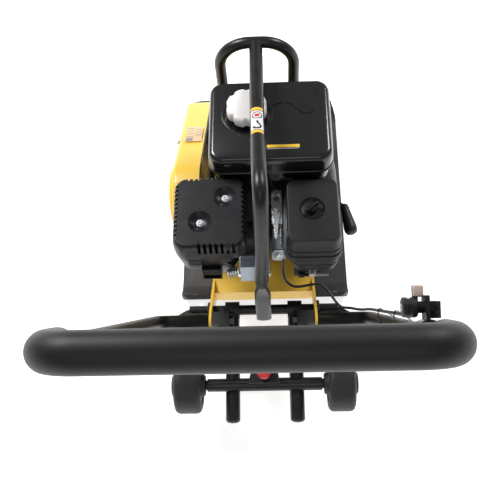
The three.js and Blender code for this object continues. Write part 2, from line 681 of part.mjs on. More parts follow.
function gripPath(length) {
  const down = new THREE.Vector3(...LEG_FOOT).sub(new THREE.Vector3(...LEG_TOP)).normalize();
  const end = new THREE.Vector3(...LEG_TOP).addScaledVector(down, length).toArray();
  const corners = [HANDLE.corner, HANDLE.corner];
  return new BentPath([legSide(end, -1), legSide(LEG_TOP, -1), LEG_TOP, end], corners, 6);
}

function handleFrame() {
  const boltHole = barrel(-152, 152, PIVOT.y, PIVOT.z, 6 + GAP, SMALL_ROUND);
  const bore = tube(handlePath(DECK.outer), HANDLE.radius - HANDLE.wall);
  return cut(tube(handlePath(DECK.outer + 2), HANDLE.radius), bore, boltHole);
}
add("handle_frame", handleFrame(), BLACK_STEEL);

function handleGrip() {
  return cut(tube(gripPath(76), HANDLE.grip, 16), tube(gripPath(80), HANDLE.radius + 2 * GAP));
}
add("handle_grip", handleGrip(), FOAM);

for (const [name, side] of SIDES) {
  const [b0, b1] = mirror(side, 66, DECK.inner - GAP);
  const bushBlock = block(b0, b1, PIVOT.y - 12, PIVOT.y + 14, PIVOT.z - 13, PIVOT.z + 13);
  const boltHole = barrel(-101, 101, PIVOT.y, PIVOT.z, 6 + GAP, SMALL_ROUND);
  add(`pivot_bush_${name}`, cut(bushBlock, boltHole), RUBBER);
  const [h0, h1] = mirror(side, 58, 66 - GAP);
  const [s0, s1] = mirror(side, 62, 148);
  const bolt = join(
    barrel(h0, h1, PIVOT.y, PIVOT.z, 10, 6),
    barrel(s0, s1, PIVOT.y, PIVOT.z, 6, SMALL_ROUND),
  );
  add(`pivot_bolt_${name}`, bolt, ZINC);
}

// Throttle control on the right leg. Local frame: x across, y forward of the leg, z up the leg.
const LEG_LEAN = Math.atan2(PIVOT.y - HANDLE.y, HANDLE.z - PIVOT.z);
function onLeg(geometry) {
  const y = PIVOT.y - Math.tan(LEG_LEAN) * (THROTTLE.z - PIVOT.z);
  return geometry.rotateX(LEG_LEAN).translate(HANDLE.half, y, THROTTLE.z);
}

add("throttle_bracket", onLeg(cut(join(
  rod([0, 0, -14], [0, 0, 14], 19, ROUND),
  block(-4, 1, 8, 47, -14, 14),
  block(0, 14, 20, 40, -12, -8),
  block(0, 14, 20, 40, 6, 10),
), rod([0, 0, -20], [0, 0, 20], HANDLE.radius + GAP, ROUND))), BLACK_STEEL);

add("throttle_lever", onLeg(join(
  barrel(-30, -12, THROTTLE.reach, 0, 12),
  block(-17, -4 - GAP, THROTTLE.reach + 4, THROTTLE.reach + 26, -5, 5),
)), ALUMINIUM);

// ---------------------------------------------------------------- throttle cable
const CABLE_LOWER = [
  [41, -288.5, 305], [41, -288, 275], [41, -285.5, 250], [41, -287, 232], [43, -295, 214],
  [48, -302, 203], [60, -310, 200], [75, -311, 200], [93, -308, 200], [107, -307, 200],
  [118, -312, 200], [127, -322, 200], [136, -336, 200], [142, -346, 200], [149, -354, 200],
  [154, -356, 200], [158, -356, 200],
];
const CABLE_UPPER = [
  [159, -356, 200], [163, -356.2, 200.4], [169, -362, 209], [177, -371, 226], [185, -381, 248],
  [191, -391, 275], [194, -404, 307], [194, -425, 357], [194, -446, 407], [194, -467, 457],
  [194, -488, 507], [194, -509, 557], [194, -530, 607], [194, -548, 648], [194, -553, 662],
];

function cable(points, steps) {
  const curve = new THREE.CatmullRomCurve3(points.map((point) => new THREE.Vector3(...point)));
  return tube(curve, CABLE_RADIUS, 8, steps);
}
add("throttle_cable_lower", cable(CABLE_LOWER, 26), BLACK_PLASTIC);
add("throttle_cable_upper", cable(CABLE_UPPER, 22), BLACK_PLASTIC);

// ---------------------------------------------------------------- wheel frame
function wheelFrame() {
  const { y, z, radius, pin } = AXLE;
  const lug = block(-18, 18, y, LOCK_Y + 15, 146, 151);
  const parts = [barrel(-110, 110, y, z, radius), barrel(-176, 176, y, z, pin, SMALL_ROUND), lug];
  for (const side of [-1, 1]) {
    parts.push(barrel(...mirror(side, 48, 76), BEAM.y, BEAM.z, 17));
    parts.push(rod([side * 62, BEAM.y - 6, 149], [side * 62, -548, 112], 14, 20));
  }
  return cut(join(...parts),
    barrel(-90, 90, BEAM.y, BEAM.z, BEAM.radius + GAP),
    rod([0, LOCK_Y, 140], [0, LOCK_Y, 160], 5.2));
}
add("wheel_frame", wheelFrame(), BLACK_STEEL);

for (const [name, side] of SIDES) {
  const { radius, rim, hubRadius, tyre, hub } = WHEEL;
  const bore = AXLE.pin + GAP;
  const profile = [
    [bore, -hub], [hubRadius, -hub], [hubRadius + 3, -tyre + 3], [rim, -tyre], [radius - 7, -tyre],
    [radius, -tyre + 8], [radius, tyre - 8], [radius - 7, tyre],
    [rim, tyre], [hubRadius + 3, tyre - 3], [hubRadius, hub], [bore, hub], [bore, -hub],
  ].map(([r, x]) => [r, x + side * WHEEL.x]);
  add(`wheel_${name}`, turned(profile, AXLE.y, AXLE.z, 32), RUBBER);
}

add("lock_knob", join(
  turnedUp([[0, 172], [11, 172], [13.5, 176], [13.5, 182], [10, 186], [0, 186]], 0, LOCK_Y),
  rod([0, LOCK_Y, 147], [0, LOCK_Y, 173], 4),
), RED_PLASTIC);

export default group;
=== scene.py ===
"""Looks of a walk-behind plate compactor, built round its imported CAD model.

Sizes are in millimetres in the helpers and become metres when a mesh is made. +Z is up, +Y is the
direction of travel and +X is the operator's right-hand side.
"""

import math

import bmesh
import bpy
import numpy as np
from mathutils import Matrix, Vector


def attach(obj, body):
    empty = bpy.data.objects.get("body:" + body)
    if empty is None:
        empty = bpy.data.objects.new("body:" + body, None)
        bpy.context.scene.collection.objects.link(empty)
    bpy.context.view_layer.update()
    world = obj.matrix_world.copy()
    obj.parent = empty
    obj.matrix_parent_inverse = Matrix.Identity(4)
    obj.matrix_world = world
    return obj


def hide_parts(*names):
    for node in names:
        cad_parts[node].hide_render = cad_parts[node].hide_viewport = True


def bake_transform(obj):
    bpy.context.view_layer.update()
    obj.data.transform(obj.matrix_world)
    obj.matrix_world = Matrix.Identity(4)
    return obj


MM = 0.001
BODY = "machine"
UP = (0, 0, 1)
SIDES = (("left", -1), ("right", 1))

# ---------------- driving dimensions
# Places on a turning axis that runs along X are given as (y, z).
CRANK = (-120, 236)
EXCITER = (140, 92)
PIVOT = (-372, 182)
BEAM = (-338, 150)
AXLE = (-487, 137)
DECK_TOP = 130
MOUNTS = {"x": 78, "front": 50, "rear": -232}
HANDLE = {"half": 206, "y": -652, "z": 839, "radius": 12.5, "grip": 22.5, "corner": 42}
LEG_LEAN = math.atan2(PIVOT[0] - HANDLE["y"], HANDLE["z"] - PIVOT[1])
THROTTLE = {"z": 690, "reach": 33}
CABLE_X = 194
ARCH = {"y": 66, "top": 474, "half": 71, "corner": 60, "radius": 11}
BAR_RADIUS = 12.5
LIFT_LINE = [
    (0, 60, 474.5), (0.3, 40, 476), (1, -40, 484), (2, -130, 500), (4, -215, 529), (6, -276, 548),
    (7, -305, 541), (7, -322, 505), (5.4, -339, 420), (2.6, -350, 345), (2, -352, 328),
]
TANK = {"x": 23, "y": -84, "half_x": 114, "half_y": 92, "top": 440}
CAP = {"x": -18, "y": -71, "radius": 37}
MUFFLER = (-153, -22, -320, -174)  # x0, x1, y0, y1, like the two boxes below
FILTER = (43, 148, -318, -179)
FILTER_TRAY = (55, 143, -314, -208)
SHIELD_DISHES = ((-60, -218), (-104, -267))
FILTER_KNOB = (94, -247)
GOVERNOR = (30, -214)
ROPE_MOUTH = (151, -182, 297)
STARTER_GRIP = {"x": 165, "y": -219, "z": 301, "turn": 11, "dip": 4}
WHEEL_X = 146
LOCK_Y = -475
CAMERA = {  # place in metres, angles in degrees, focal length in millimetres
    "place": (0.0333, -0.8754, 1.5057),
    "pitch": 62.79,
    "heading": 4.657,
    "roll": 5.560,
    "lens": 51.88,
}

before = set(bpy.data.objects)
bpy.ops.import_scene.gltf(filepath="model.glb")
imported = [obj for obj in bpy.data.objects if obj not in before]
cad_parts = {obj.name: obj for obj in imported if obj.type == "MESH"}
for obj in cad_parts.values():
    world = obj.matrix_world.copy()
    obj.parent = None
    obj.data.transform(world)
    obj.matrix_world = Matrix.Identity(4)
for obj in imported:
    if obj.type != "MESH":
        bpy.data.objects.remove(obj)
MATERIALS = {}  # filled once by main(), looked up by key


# ---------------- materials
def shader(name, color, roughness, metallic=0.0, coat=0.0, specular=0.5):
    """A principled material and the nodes needed to vary it."""
    material = bpy.data.materials.new(name)
    material.use_nodes = True
    tree = material.node_tree
    principled = tree.nodes["Principled BSDF"]
    principled.inputs["Base Color"].default_value = (*color, 1)
    principled.inputs["Roughness"].default_value = roughness
    principled.inputs["Metallic"].default_value = metallic
    principled.inputs["Coat Weight"].default_value = coat
    principled.inputs["Coat Roughness"].default_value = 0.08
    principled.inputs["Specular IOR Level"].default_value = specular
    return material, tree, principled


def noise(tree, scale, detail=2.0):
    """Noise in the object's own coordinates, so that it stays with a moving piece."""
    coordinates = tree.nodes.new("ShaderNodeTexCoord")
    texture = tree.nodes.new("ShaderNodeTexNoise")
    texture.inputs["Scale"].default_value = scale
    texture.inputs["Detail"].default_value = detail
    tree.links.new(coordinates.outputs["Object"], texture.inputs["Vector"])
    return texture


def add_bump(tree, principled, scale, height, detail=2.0):
    """Fine surface relief; height is in metres."""
    texture = noise(tree, scale, detail)
    bump = tree.nodes.new("ShaderNodeBump")
    bump.inputs["Strength"].default_value = 1.0
    bump.inputs["Distance"].default_value = height
    tree.links.new(texture.outputs["Fac"], bump.inputs["Height"])
    tree.links.new(bump.outputs["Normal"], principled.inputs["Normal"])


def vary_roughness(tree, principled, scale, low, high):
    """Lets noise move the roughness between two levels."""
    texture = noise(tree, scale, 4.0)
    levels = tree.nodes.new("ShaderNodeMapRange")
    levels.inputs["From Min"].default_value = 0.3
    levels.inputs["From Max"].default_value = 0.7
    levels.inputs["To Min"].default_value = low
    levels.inputs["To Max"].default_value = high
    tree.links.new(texture.outputs["Fac"], levels.inputs["Value"])
    tree.links.new(levels.outputs["Result"], principled.inputs["Roughness"])


def make_material(name, color, roughness, bump=None, rough_range=None, **finish):
    material, tree, principled = shader(name, color, roughness, **finish)
    if bump:
        add_bump(tree, principled, *bump)
    if rough_range:
        vary_roughness(tree, principled, *rough_range)
    return material


def make_materials():
    return {
        "yellow_paint": make_material(
            "yellow powder coat", (0.95, 0.60, 0.07), 0.38, bump=(900, 0.00004), coat=0.2),
        "black_steel": make_material(
            "black powder coat", (0.009, 0.009, 0.0105), 0.32, bump=(1400, 0.00003),
            rough_range=(40, 0.26, 0.38), specular=0.42),
        "stove_black": make_material(
            "stove enamel", (0.006, 0.006, 0.008), 0.36, bump=(1600, 0.00004), rough_range=(30, 0.32, 0.42),
            specular=0.34),
        "engine_black": make_material(
            "black engine paint", (0.010, 0.010, 0.011), 0.5, bump=(600, 0.00015),
            rough_range=(50, 0.42, 0.6)),
        "cast_grey": make_material(
            "dark grey plate paint", (0.036, 0.036, 0.038), 0.5, bump=(700, 0.0001),
            rough_range=(30, 0.42, 0.58)),
        "black_plastic": make_material(
            "black moulded plastic", (0.009, 0.009, 0.010), 0.42, bump=(2200, 0.00004), specular=0.4),
        "filter_plastic": make_material(
            "grained black plastic", (0.009, 0.009, 0.0095), 0.46, bump=(1800, 0.00006), specular=0.36),
        "gloss_black": make_material("gloss black enamel", (0.006, 0.006, 0.007), 0.24, coat=0.25),
        "aluminium": make_material(
            "cast aluminium", (0.60, 0.65, 0.70), 0.38, metallic=0.9, bump=(500, 0.00015)),
        "cover_alloy": make_material(
            "sand-cast alloy", (0.42, 0.47, 0.52), 0.45, metallic=0.85, bump=(350, 0.0003)),
        "dark_alloy": make_material(
            "dark die-cast alloy", (0.20, 0.22, 0.25), 0.42, metallic=0.9, bump=(500, 0.00015)),
        "zinc": make_material(
            "zinc plate", (0.78, 0.80, 0.83), 0.3, metallic=0.75, rough_range=(120, 0.22, 0.38)),
        "rubber": make_material("black rubber", (0.008, 0.008, 0.008), 0.55, bump=(600, 0.0001)),
        "foam": make_material(
            "black foam", (0.0045, 0.0045, 0.005), 0.48, bump=(2600, 0.00012, 3.0), specular=0.42),
        "tyre": make_material("tyre rubber", (0.018, 0.018, 0.019), 0.55, bump=(900, 0.0001)),
        "white_plastic": make_material("white plastic", (0.80, 0.77, 0.755), 0.36, coat=0.15),
        "red_plastic": make_material("red plastic", (0.55, 0.03, 0.03), 0.35, coat=0.2),
        "filter_foam": make_material("filter foam", (0.25, 0.20, 0.13), 0.9, bump=(900, 0.0004)),
        "label_grey": make_material("grey label", (0.30, 0.27, 0.28), 0.45),
        "label_pale": make_material("pale print", (0.45, 0.45, 0.45), 0.45),
        "label_rose": make_material("foil label", (0.82, 0.56, 0.30), 0.35),
        "label_white": make_material("white label", (0.80, 0.80, 0.78), 0.4),
        "label_yellow": make_material("yellow label", (0.85, 0.52, 0.04), 0.4),
        "label_black": make_material("black print", (0.02, 0.02, 0.02), 0.45),
        "label_red": make_material("red print", (0.60, 0.05, 0.04), 0.45),
        "rope": make_material("braided cord", (0.03, 0.03, 0.032), 0.8, bump=(1500, 0.0003)),
        "cable": make_material("cable sheath", (0.02, 0.02, 0.022), 0.5, bump=(900, 0.00008)),
        "tube_black": make_material(
            "satin black tube paint", (0.010, 0.0095, 0.009), 0.42, bump=(1400, 0.00003), specular=0.16),
        "yellow_zinc": make_material(
            "yellow zinc plate", (0.66, 0.53, 0.46), 0.36, metallic=0.35, rough_range=(120, 0.3, 0.44)),
    }


# ---------------- mesh helpers
def add_mesh(name, vertices, faces, material, smooth=35):
    """A mesh object from millimetre vertices; edges sharper than `smooth` degrees stay crisp."""
    name = name.replace(" ", "_")
    mesh = bpy.data.meshes.new(name)
    mesh.from_pydata([tuple(MM * c for c in v) for v in vertices], [], [tuple(f) for f in faces])
    mesh.validate()
    mesh.update()
    obj = bpy.data.objects.new(name, mesh)
    bpy.context.scene.collection.objects.link(obj)
    mesh.materials.append(MATERIALS[material])
    shade(obj, smooth)
    return obj


def shade(obj, degrees):
    """Smooth shading that stays crisp over edges sharper than an angle."""
    for polygon in obj.data.polygons:
        polygon.use_smooth = True
    obj.data.set_sharp_from_angle(angle=math.radians(degrees))


def soften(obj, width, segments=3, degrees=30):
    """Rounds the edges of a mesh, those sharper than an angle, by a width in millimetres."""
    bevel = obj.modifiers.new("rounded edges", "BEVEL")
    bevel.width = width * MM
    bevel.segments = segments
    bevel.limit_method = "ANGLE"
    bevel.angle_limit = math.radians(degrees)
    bevel.harden_normals = True
    return obj


def place(obj, body=BODY, nodes=()):
    """Gives a finished piece its body and hides the CAD nodes it stands for."""
    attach(obj, body)
    if nodes:
        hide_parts(*nodes)
    return obj


def loft(name, rings, material, caps=True, loop=False, smooth=35):
    """Joins rings of equal point count, each a closed loop; loop joins the last ring to the first."""
    count = len(rings[0])
    vertices = [tuple(point) for ring in rings for point in ring]
    faces = []
    for i in range(len(rings) if loop else len(rings) - 1):
        a = i * count
        b = ((i + 1) % len(rings)) * count
        for j in range(count):
            k = (j + 1) % count
            faces.append((a + j, a + k, b + k, b + j))
    if caps and not loop:
        faces.append(tuple(reversed(range(count))))
        last = (len(rings) - 1) * count
        faces.append(tuple(range(last, last + count)))
    return add_mesh(name, vertices, faces, material, smooth)


def arc(x, y, radius, start, end, steps=16):
    """Points on part of a circle, from one angle in degrees to another."""
    angles = [math.radians(start + (end - start) * i / steps) for i in range(steps + 1)]
    return [(x + radius * math.cos(a), y + radius * math.sin(a)) for a in angles]


def rounded_rect(x0, x1, y0, y1, corner, steps=8):
    """The outline of a rectangle with round corners, counter-clockwise."""
    corners = [(x1 - corner, y0 + corner, -90), (x1 - corner, y1 - corner, 0),
               (x0 + corner, y1 - corner, 90), (x0 + corner, y0 + corner, 180)]
    return [point for cx, cy, start in corners for point in arc(cx, cy, corner, start, start + 90, steps)]


def stacked(name, box, corner, profile, material, smooth=35, steps=8):
    """A rounded box from a profile of (inset, z) levels; box is (x0, x1, y0, y1)."""
    rings = []
    for inset, z in profile:
        outline = rounded_rect(box[0] + inset, box[1] - inset, box[2] + inset, box[3] - inset,
                               max(corner - inset, 1.5), steps)
        rings.append([(x, y, z) for x, y in outline])
    return loft(name, rings, material, smooth=smooth)


def frame_on(axis):
    """Two unit vectors across an axis."""
    axis = Vector(axis).normalized()
    helper = Vector(UP) if abs(axis.z) < 0.9 else Vector((1, 0, 0))
    first = axis.cross(helper).normalized()
    return first, axis.cross(first).normalized()


def circle(middle, first, second, a, b, steps):
    """Points round an ellipse with half-axes a along first and b along second."""
    angles = [2 * math.pi * k / steps for k in range(steps)]
    return [middle + first * (a * math.cos(t)) + second * (b * math.sin(t)) for t in angles]


def turned(name, origin, axis, profile, material, steps=48, smooth=35):
    """A profile of (radius, along) points turned about an axis through origin."""
    axis = Vector(axis).normalized()
    first, second = frame_on(axis)
    rings = []
    for radius, along in profile:
        radius = max(radius, 0.01)
        rings.append(circle(Vector(origin) + axis * along, first, second, radius, radius, steps))
    return loft(name, rings, material, smooth=smooth)


def rod(name, start, end, radius, material, steps=24, end_radius=None):
    """A round bar with broken edges between two points."""
    start, end = Vector(start), Vector(end)
    length = (end - start).length
    tip = end_radius or radius
    chamfer = 0.6
    profile = [(0, 0), (radius - chamfer, 0), (radius, chamfer), (tip, length - chamfer),
               (tip - chamfer, length), (0, length)]
    return turned(name, start, end - start, profile, material, steps)


def block(name, low, high, material, edge=1.0, segments=2):
    """A box between two corners, with rounded edges unless edge is 0."""
    x0, y0, z0 = low
    x1, y1, z1 = high
    vertices = [(x, y, z) for z in (z0, z1) for y in (y0, y1) for x in (x0, x1)]
    faces = [(0, 2, 3, 1), (4, 5, 7, 6), (0, 1, 5, 4), (2, 6, 7, 3), (0, 4, 6, 2), (1, 3, 7, 5)]
    obj = add_mesh(name, vertices, faces, material)
    return soften(obj, edge, segments) if edge else obj


def prism(name, outline, low, high, material, plane="xy", edge=0.8):
    """Extrudes an outline; plane says which two axes it is drawn in, the third runs low to high."""
    put = {"xy": lambda a, b, c: (a, b, c), "xz": lambda a, b, c: (a, c, b)}[plane]
    obj = loft(name, [[put(a, b, level) for a, b in outline] for level in (low, high)], material)
    recalculate(obj)
    return soften(obj, edge) if edge else obj


def recalculate(obj):
    """Turns every face outwards."""
    work = bmesh.new()
    work.from_mesh(obj.data)
    bmesh.ops.recalc_face_normals(work, faces=work.faces)
    work.to_mesh(obj.data)
    work.free()


def bent_path(points, radii, arc_steps=10):
    """Points along straight runs whose inner corners are circular arcs."""
    nodes = [Vector(p) for p in points]
    path = [nodes[0]]
    for i, radius in enumerate(radii):
        before = (nodes[i + 1] - nodes[i]).normalized()
        after = (nodes[i + 2] - nodes[i + 1]).normalized()
        sweep = before.angle(after)
        start = nodes[i + 1] - before * radius * math.tan(sweep / 2)
        hinge = before.cross(after).normalized()
        inward = hinge.cross(before)
        centre = start + inward * radius
        for step in range(arc_steps + 1):
            turn = Matrix.Rotation(sweep * step / arc_steps, 3, hinge)
            path.append(centre - (turn @ inward) * radius)
    path.append(nodes[-1])
    clean = [path[0]]
    for point in path[1:]:
        if (point - clean[-1]).length > 0.01:
            clean.append(point)
    return clean


def smooth_path(points, steps=8):
    """A Catmull-Rom curve through points."""
    p = [Vector(q) for q in points]
    p = [p[0] * 2 - p[1], *p, p[-1] * 2 - p[-2]]
    path = []
    for i in range(1, len(p) - 2):
        for step in range(steps):
            t = step / steps
            a, b, c, d = p[i - 1], p[i], p[i + 1], p[i + 2]
            path.append(0.5 * ((2 * b) + (c - a) * t + (2 * a - 5 * b + 4 * c - d) * t * t
                               + (3 * b - 3 * c + d - a) * t ** 3))
    path.append(p[-2])
    return path


def sweep(name, path, radii, material, sides=24, up=(1, 0, 0)):
    """A tube along a path; radii is one radius, or one (across, other) pair for all or each of the points."""
    path = [Vector(q) for q in path]
    if not isinstance(radii, list):
        radii = [radii if isinstance(radii, tuple) else (radii, radii)] * len(path)
    rings = []
    for point, (across, other), (a, b) in zip(path, frames_along(path, up), radii):
        rings.append(circle(point, across, other, a, b, sides))
    return loft(name, rings, material, smooth=40)


def frames_along(path, up):
    """Two unit vectors across a path at each of its points, turned no more than the path turns."""
    frames = []
    across = Vector(up)
    for i in range(len(path)):
        tangent = (path[min(i + 1, len(path) - 1)] - path[max(i - 1, 0)]).normalized()
        across = (across - tangent * across.dot(tangent)).normalized()
        frames.append((across, tangent.cross(across)))
    return frames


def hex_bolt(name, place_at, axis, across, height, washer=1.35):
    """A zinc hexagon head standing on a surface; washer is its width over the head's, None for no washer."""
    radius = across / math.sqrt(3)
    head = [(0, 1.2), (radius, 1.2), (radius, height - 0.8), (radius * 0.88, height), (0, height)]
    place(turned(name, place_at, axis, head, "zinc", steps=6, smooth=20))
    if washer:
        edge = radius * washer
        ring = [(0, 0), (edge, 0), (edge, 1.0), (edge - 0.4, 1.4), (0, 1.4)]
        place(turned(name + " washer", place_at, axis, ring, "zinc", steps=32))


def join_pieces(objects, material):
    """One mesh in the shared frame from several placed pieces, modifiers applied."""
    bpy.context.view_layer.update()
    depsgraph = bpy.context.evaluated_depsgraph_get()
    name = objects[0].name
    vertices, faces = [], []
    for obj in objects:
        mesh = bpy.data.meshes.new_from_object(obj.evaluated_get(depsgraph))
        base = len(vertices)
        vertices += [tuple((obj.matrix_world @ v.co) / MM) for v in mesh.vertices]
        faces += [tuple(base + i for i in p.vertices) for p in mesh.polygons]
    for obj in objects:
        bpy.data.objects.remove(obj)
    return add_mesh(name, vertices, faces, material)


def pipe(name, path, outer, inner, material, sides=32, up=(1, 0, 0), rim=1.0):
    """An open tube with a wall and rounded rims: out along the outside and back along the inside."""
    path = [Vector(q) for q in path]
    head = (path[0] - path[1]).normalized()
    tail = (path[-1] - path[-2]).normalized()
    run = [
        (path[0] - head * rim, outer), *[(p, outer) for p in path[1:-1]], (path[-1] - tail * rim, outer),
        (path[-1], outer - rim), (path[-1], inner + rim), (path[-1] - tail * rim, inner),
        *[(p, inner) for p in reversed(path[1:-1])],
        (path[0] - head * rim, inner), (path[0], inner + rim), (path[0], outer - rim),
    ]
    last = len(path) - 1
    order = [*range(last + 1), last, last, last, *range(last - 1, 0, -1), 0, 0, 0]
    frames = frames_along(path, up)
    rings = [circle(point, *frames[i], radius, radius, sides) for (point, radius), i in zip(run, order)]
    return loft(name, rings, material, loop=True, smooth=50)


def keep_flats(obj):
    """Stops large flat faces from picking up the shading of the curves beside them."""
    normals = obj.modifiers.new("flat faces stay flat", "WEIGHTED_NORMAL")
    normals.keep_sharp = True
    normals.weight = 100


def carve(obj, cutters, smooth=35):
    """Cuts closed meshes out of obj."""
    recalculate(obj)
    for cutter in cutters:
        recalculate(cutter)
        cut = obj.modifiers.new("cut", "BOOLEAN")
        cut.operation = "DIFFERENCE"
        cut.solver = "EXACT"
        cut.object = cutter
    bpy.context.view_layer.update()
    result = bpy.data.meshes.new_from_object(obj.evaluated_get(bpy.context.evaluated_depsgraph_get()))
    obj.modifiers.clear()
    obj.data = result
    for cutter in cutters:
        bpy.data.objects.remove(cutter)
    shade(obj, smooth)


def dress(node, material, width=0.8, segments=2, angle=35):
    """A CAD node carried over as it is, with rounded edges and its material."""
    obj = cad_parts[node]
    obj.data.materials.clear()
    obj.data.materials.append(MATERIALS[material])
    shade(obj, angle)
    if width:
        tidy = obj.modifiers.new("flat faces", "DECIMATE")
        tidy.decimate_type = "DISSOLVE"
        tidy.angle_limit = math.radians(1.5)
        soften(obj, width, segments, angle)
    return obj


# ---------------- base plate, exciter, deck
def build_plate():
    dress("base_plate", "cast_grey", 1.5)
    dress("exciter_housing", "cast_grey", 1.5)
    for side, _ in SIDES:
        dress("exciter_cover_" + side, "cast_grey", 1.0)
        dress("exciter_bearing_" + side, "zinc", 0.5)
    dress("exciter_shaft", "zinc", 0.5)
    dress("exciter_pulley", "zinc", 0.5)
    dress("v_belt", "rubber", 0.8)
    cover_face, bolt_circle = 100, 39
    for side, sign in SIDES:
        for turn, (y, z) in enumerate(arc(*EXCITER, bolt_circle, 30, 330, 5)):
            at = (sign * cover_face, y, z)
            hex_bolt(f"exciter cover bolt {side} {turn}", at, (sign, 0, 0), 9, 5)


def build_mounts():
    waist = [(0, 78.3), (21, 78.3), (21, 80), (19.5, 82), (17.5, 90), (16.5, 102), (17.5, 114), (19.5, 122),
             (21, 124), (21, 125.7), (0, 125.7)]
    for end in ("front", "rear"):
        for side, sign in SIDES:
            x, y = sign * MOUNTS["x"], MOUNTS[end]
            mount = turned(f"rubber mount {end} {side}", (x, y, 0), UP, waist, "rubber")
            place(mount, BODY, [f"rubber_mount_{end}_{side}"])
            if end == "rear":
                hex_bolt(f"mount bolt {end} {side}", (x, y, DECK_TOP), UP, 17, 8)


def build_deck():
    dress("engine_deck", "yellow_paint", 1.2, 3)
    dress("cross_beam", "black_steel", 0.8)
    collar = [(10.4, 0), (17, 0), (17, 4), (15.5, 5.5), (10.4, 5.5)]
    for side, sign in SIDES:
        dress("pivot_bush_" + side, "rubber", 2.0, 3)
        dress("pivot_bolt_" + side, "black_steel", 0.8)
        ring = turned("beam collar " + side, (sign * 106, *BEAM), (sign, 0, 0), collar, "black_steel")
        place(ring)


# ---------------- lifting arch and bar
def build_arch():
    y, half, top, corner = (ARCH[k] for k in ("y", "half", "top", "corner"))
    foot_z = DECK_TOP + 1
    corners = [(-half, y, foot_z), (-half, y, top), (half, y, top), (half, y, foot_z)]
    path = bent_path(corners, [corner, corner], 20)
    arch = sweep("lift arch tube", path, ARCH["radius"], "black_steel", 32, up=(0, 1, 0))
    place(arch, BODY, ["lift_arch"])
    for side, sign in SIDES:
        low, high = sorted((sign * 56, sign * 92))
        foot = block("lift arch foot " + side, (low, y - 22, DECK_TOP + 0.3), (high, y + 9, DECK_TOP + 5.3),
                     "black_steel", 1.0)
        place(foot)


def build_lift_bar():
    """The bar: round over the engine, pressed flat below the neck."""
    path = smooth_path(LIFT_LINE, 10)
    radii = [(BAR_RADIUS, BAR_RADIUS)] * len(path)
    neck = ((318, 11.4, 11.6), (306, 11.2, 9.4), (294, 12.4, 6.6), (280, 14.2, 4.6), (266, 15, 4))
    for z, across, deep in neck:
        path.append(Vector((1.6, -354.2, z)))
        radii.append((across, deep))
    for z in (230, 190, 160, 142):
        path.append(Vector((1, -354.5, z)))
        radii.append((15, 4))
    place(sweep("lift bar tube", path, radii, "black_steel", 32), BODY, ["lift_bar"])
    build_bar_label()


def bar_patch(name, outline, lift, material):
    """An outline of (across, y) points wrapped on top of the bar, standing proud of it by lift."""
    line = smooth_path(LIFT_LINE, 10)[:48]  # the run over the engine, where y falls all the way
    behind = [-p.y for p in line]
    heights = [p.z for p in line]
    rings = []
    for radius in (BAR_RADIUS - 0.9, BAR_RADIUS + 0.1 + lift):
        ring = []
        for across, y in outline:
            x = np.interp(-y, behind, [p.x for p in line])
            z = np.interp(-y, behind, heights)
            low, high = np.interp([-3 - y, 3 - y], behind, heights)
            slope = math.atan2(high - low, 6)
            angle = across / BAR_RADIUS
            reach = radius * math.cos(angle)
            side, rise = radius * math.sin(angle), reach * math.cos(slope)
            ring.append((x + side, y + reach * math.sin(slope), z + rise))
        rings.append(ring)
    patch = loft(name, rings, material, caps=False)
    grid_caps(patch, len(outline))
    place(patch)


def grid_caps(obj, count):
    """Closes both ends of a two-ring patch whose outline runs out one side and back on the other."""
    work = bmesh.new()
    work.from_mesh(obj.data)
    work.verts.ensure_lookup_table()
    for base in (0, count):
        for i in range(count // 2 - 1):
            corners = (base + i, base + i + 1, base + count - 2 - i, base + count - 1 - i)
            work.faces.new([work.verts[k] for k in corners])
    bmesh.ops.recalc_face_normals(work, faces=work.faces)
    work.to_mesh(obj.data)
    work.free()
    shade(obj, 35)


def strip(y0, y1, half=12, steps=12):
    """A band across the bar with points along its ends, so that it can wrap round."""
    across = [-half + 2 * half * i / steps for i in range(steps + 1)]
    return [(x, y0) for x in across] + [(x, y1) for x in reversed(across)]


def stroke(points, width):
    """The outline of a line of constant width."""
    left, right = [], []
    for i, (x, y) in enumerate(points):
        ax, ay = points[max(i - 1, 0)]
        bx, by = points[min(i + 1, len(points) - 1)]
        length = math.hypot(bx - ax, by - ay)
        nx, ny = -(by - ay) / length * width / 2, (bx - ax) / length * width / 2
        left.append((x + nx, y + ny))
        right.append((x - nx, y - ny))
    return left + right[::-1]


def build_bar_label():
    """Plain lifting-point sticker on top of the bar: a hook and a red mark between two yellow ends."""
    start, end, rows = -180, -112, 8
    step = (end - start) / rows
    for row in range(rows):
        y0 = start + step * row
        bar_patch(f"bar sticker {row}", strip(y0, y0 + step), 0.05, "label_white")
    bar_patch("bar sticker rear", strip(start, start + 7), 0.15, "label_yellow")
    bar_patch("bar sticker front", strip(end - 7, end), 0.15, "label_yellow")
    bar_patch("bar sticker rear edge", strip(start + 7, start + 8.6), 0.15, "label_black")
    bar_patch("bar sticker front edge", strip(end - 8.6, end - 7), 0.15, "label_black")
    bend = [(-6.4, -162, 0), (-4.8, -166.5, 0), (0, -168, 0), (4.8, -166, 0), (6, -161, 0),
            (3.6, -156.6, 0), (1, -153.6, 0), (0.6, -148, 0)]
    hook = [(p.x, p.y) for p in smooth_path(bend, 5)]
    mark_y = -133
    bar_patch("bar sticker hook", stroke(hook, 3.4), 0.4, "label_black")
    bar_patch("bar sticker ring", stroke(arc(0, mark_y, 8.4, 0, 360, 40), 1.6), 0.4, "label_black")
    mark = [(x, mark_y) for x in (-4, -2, 0, 2, 4)]
    bar_patch("bar sticker diamond", stroke(mark, 7.6), 0.4, "label_red")


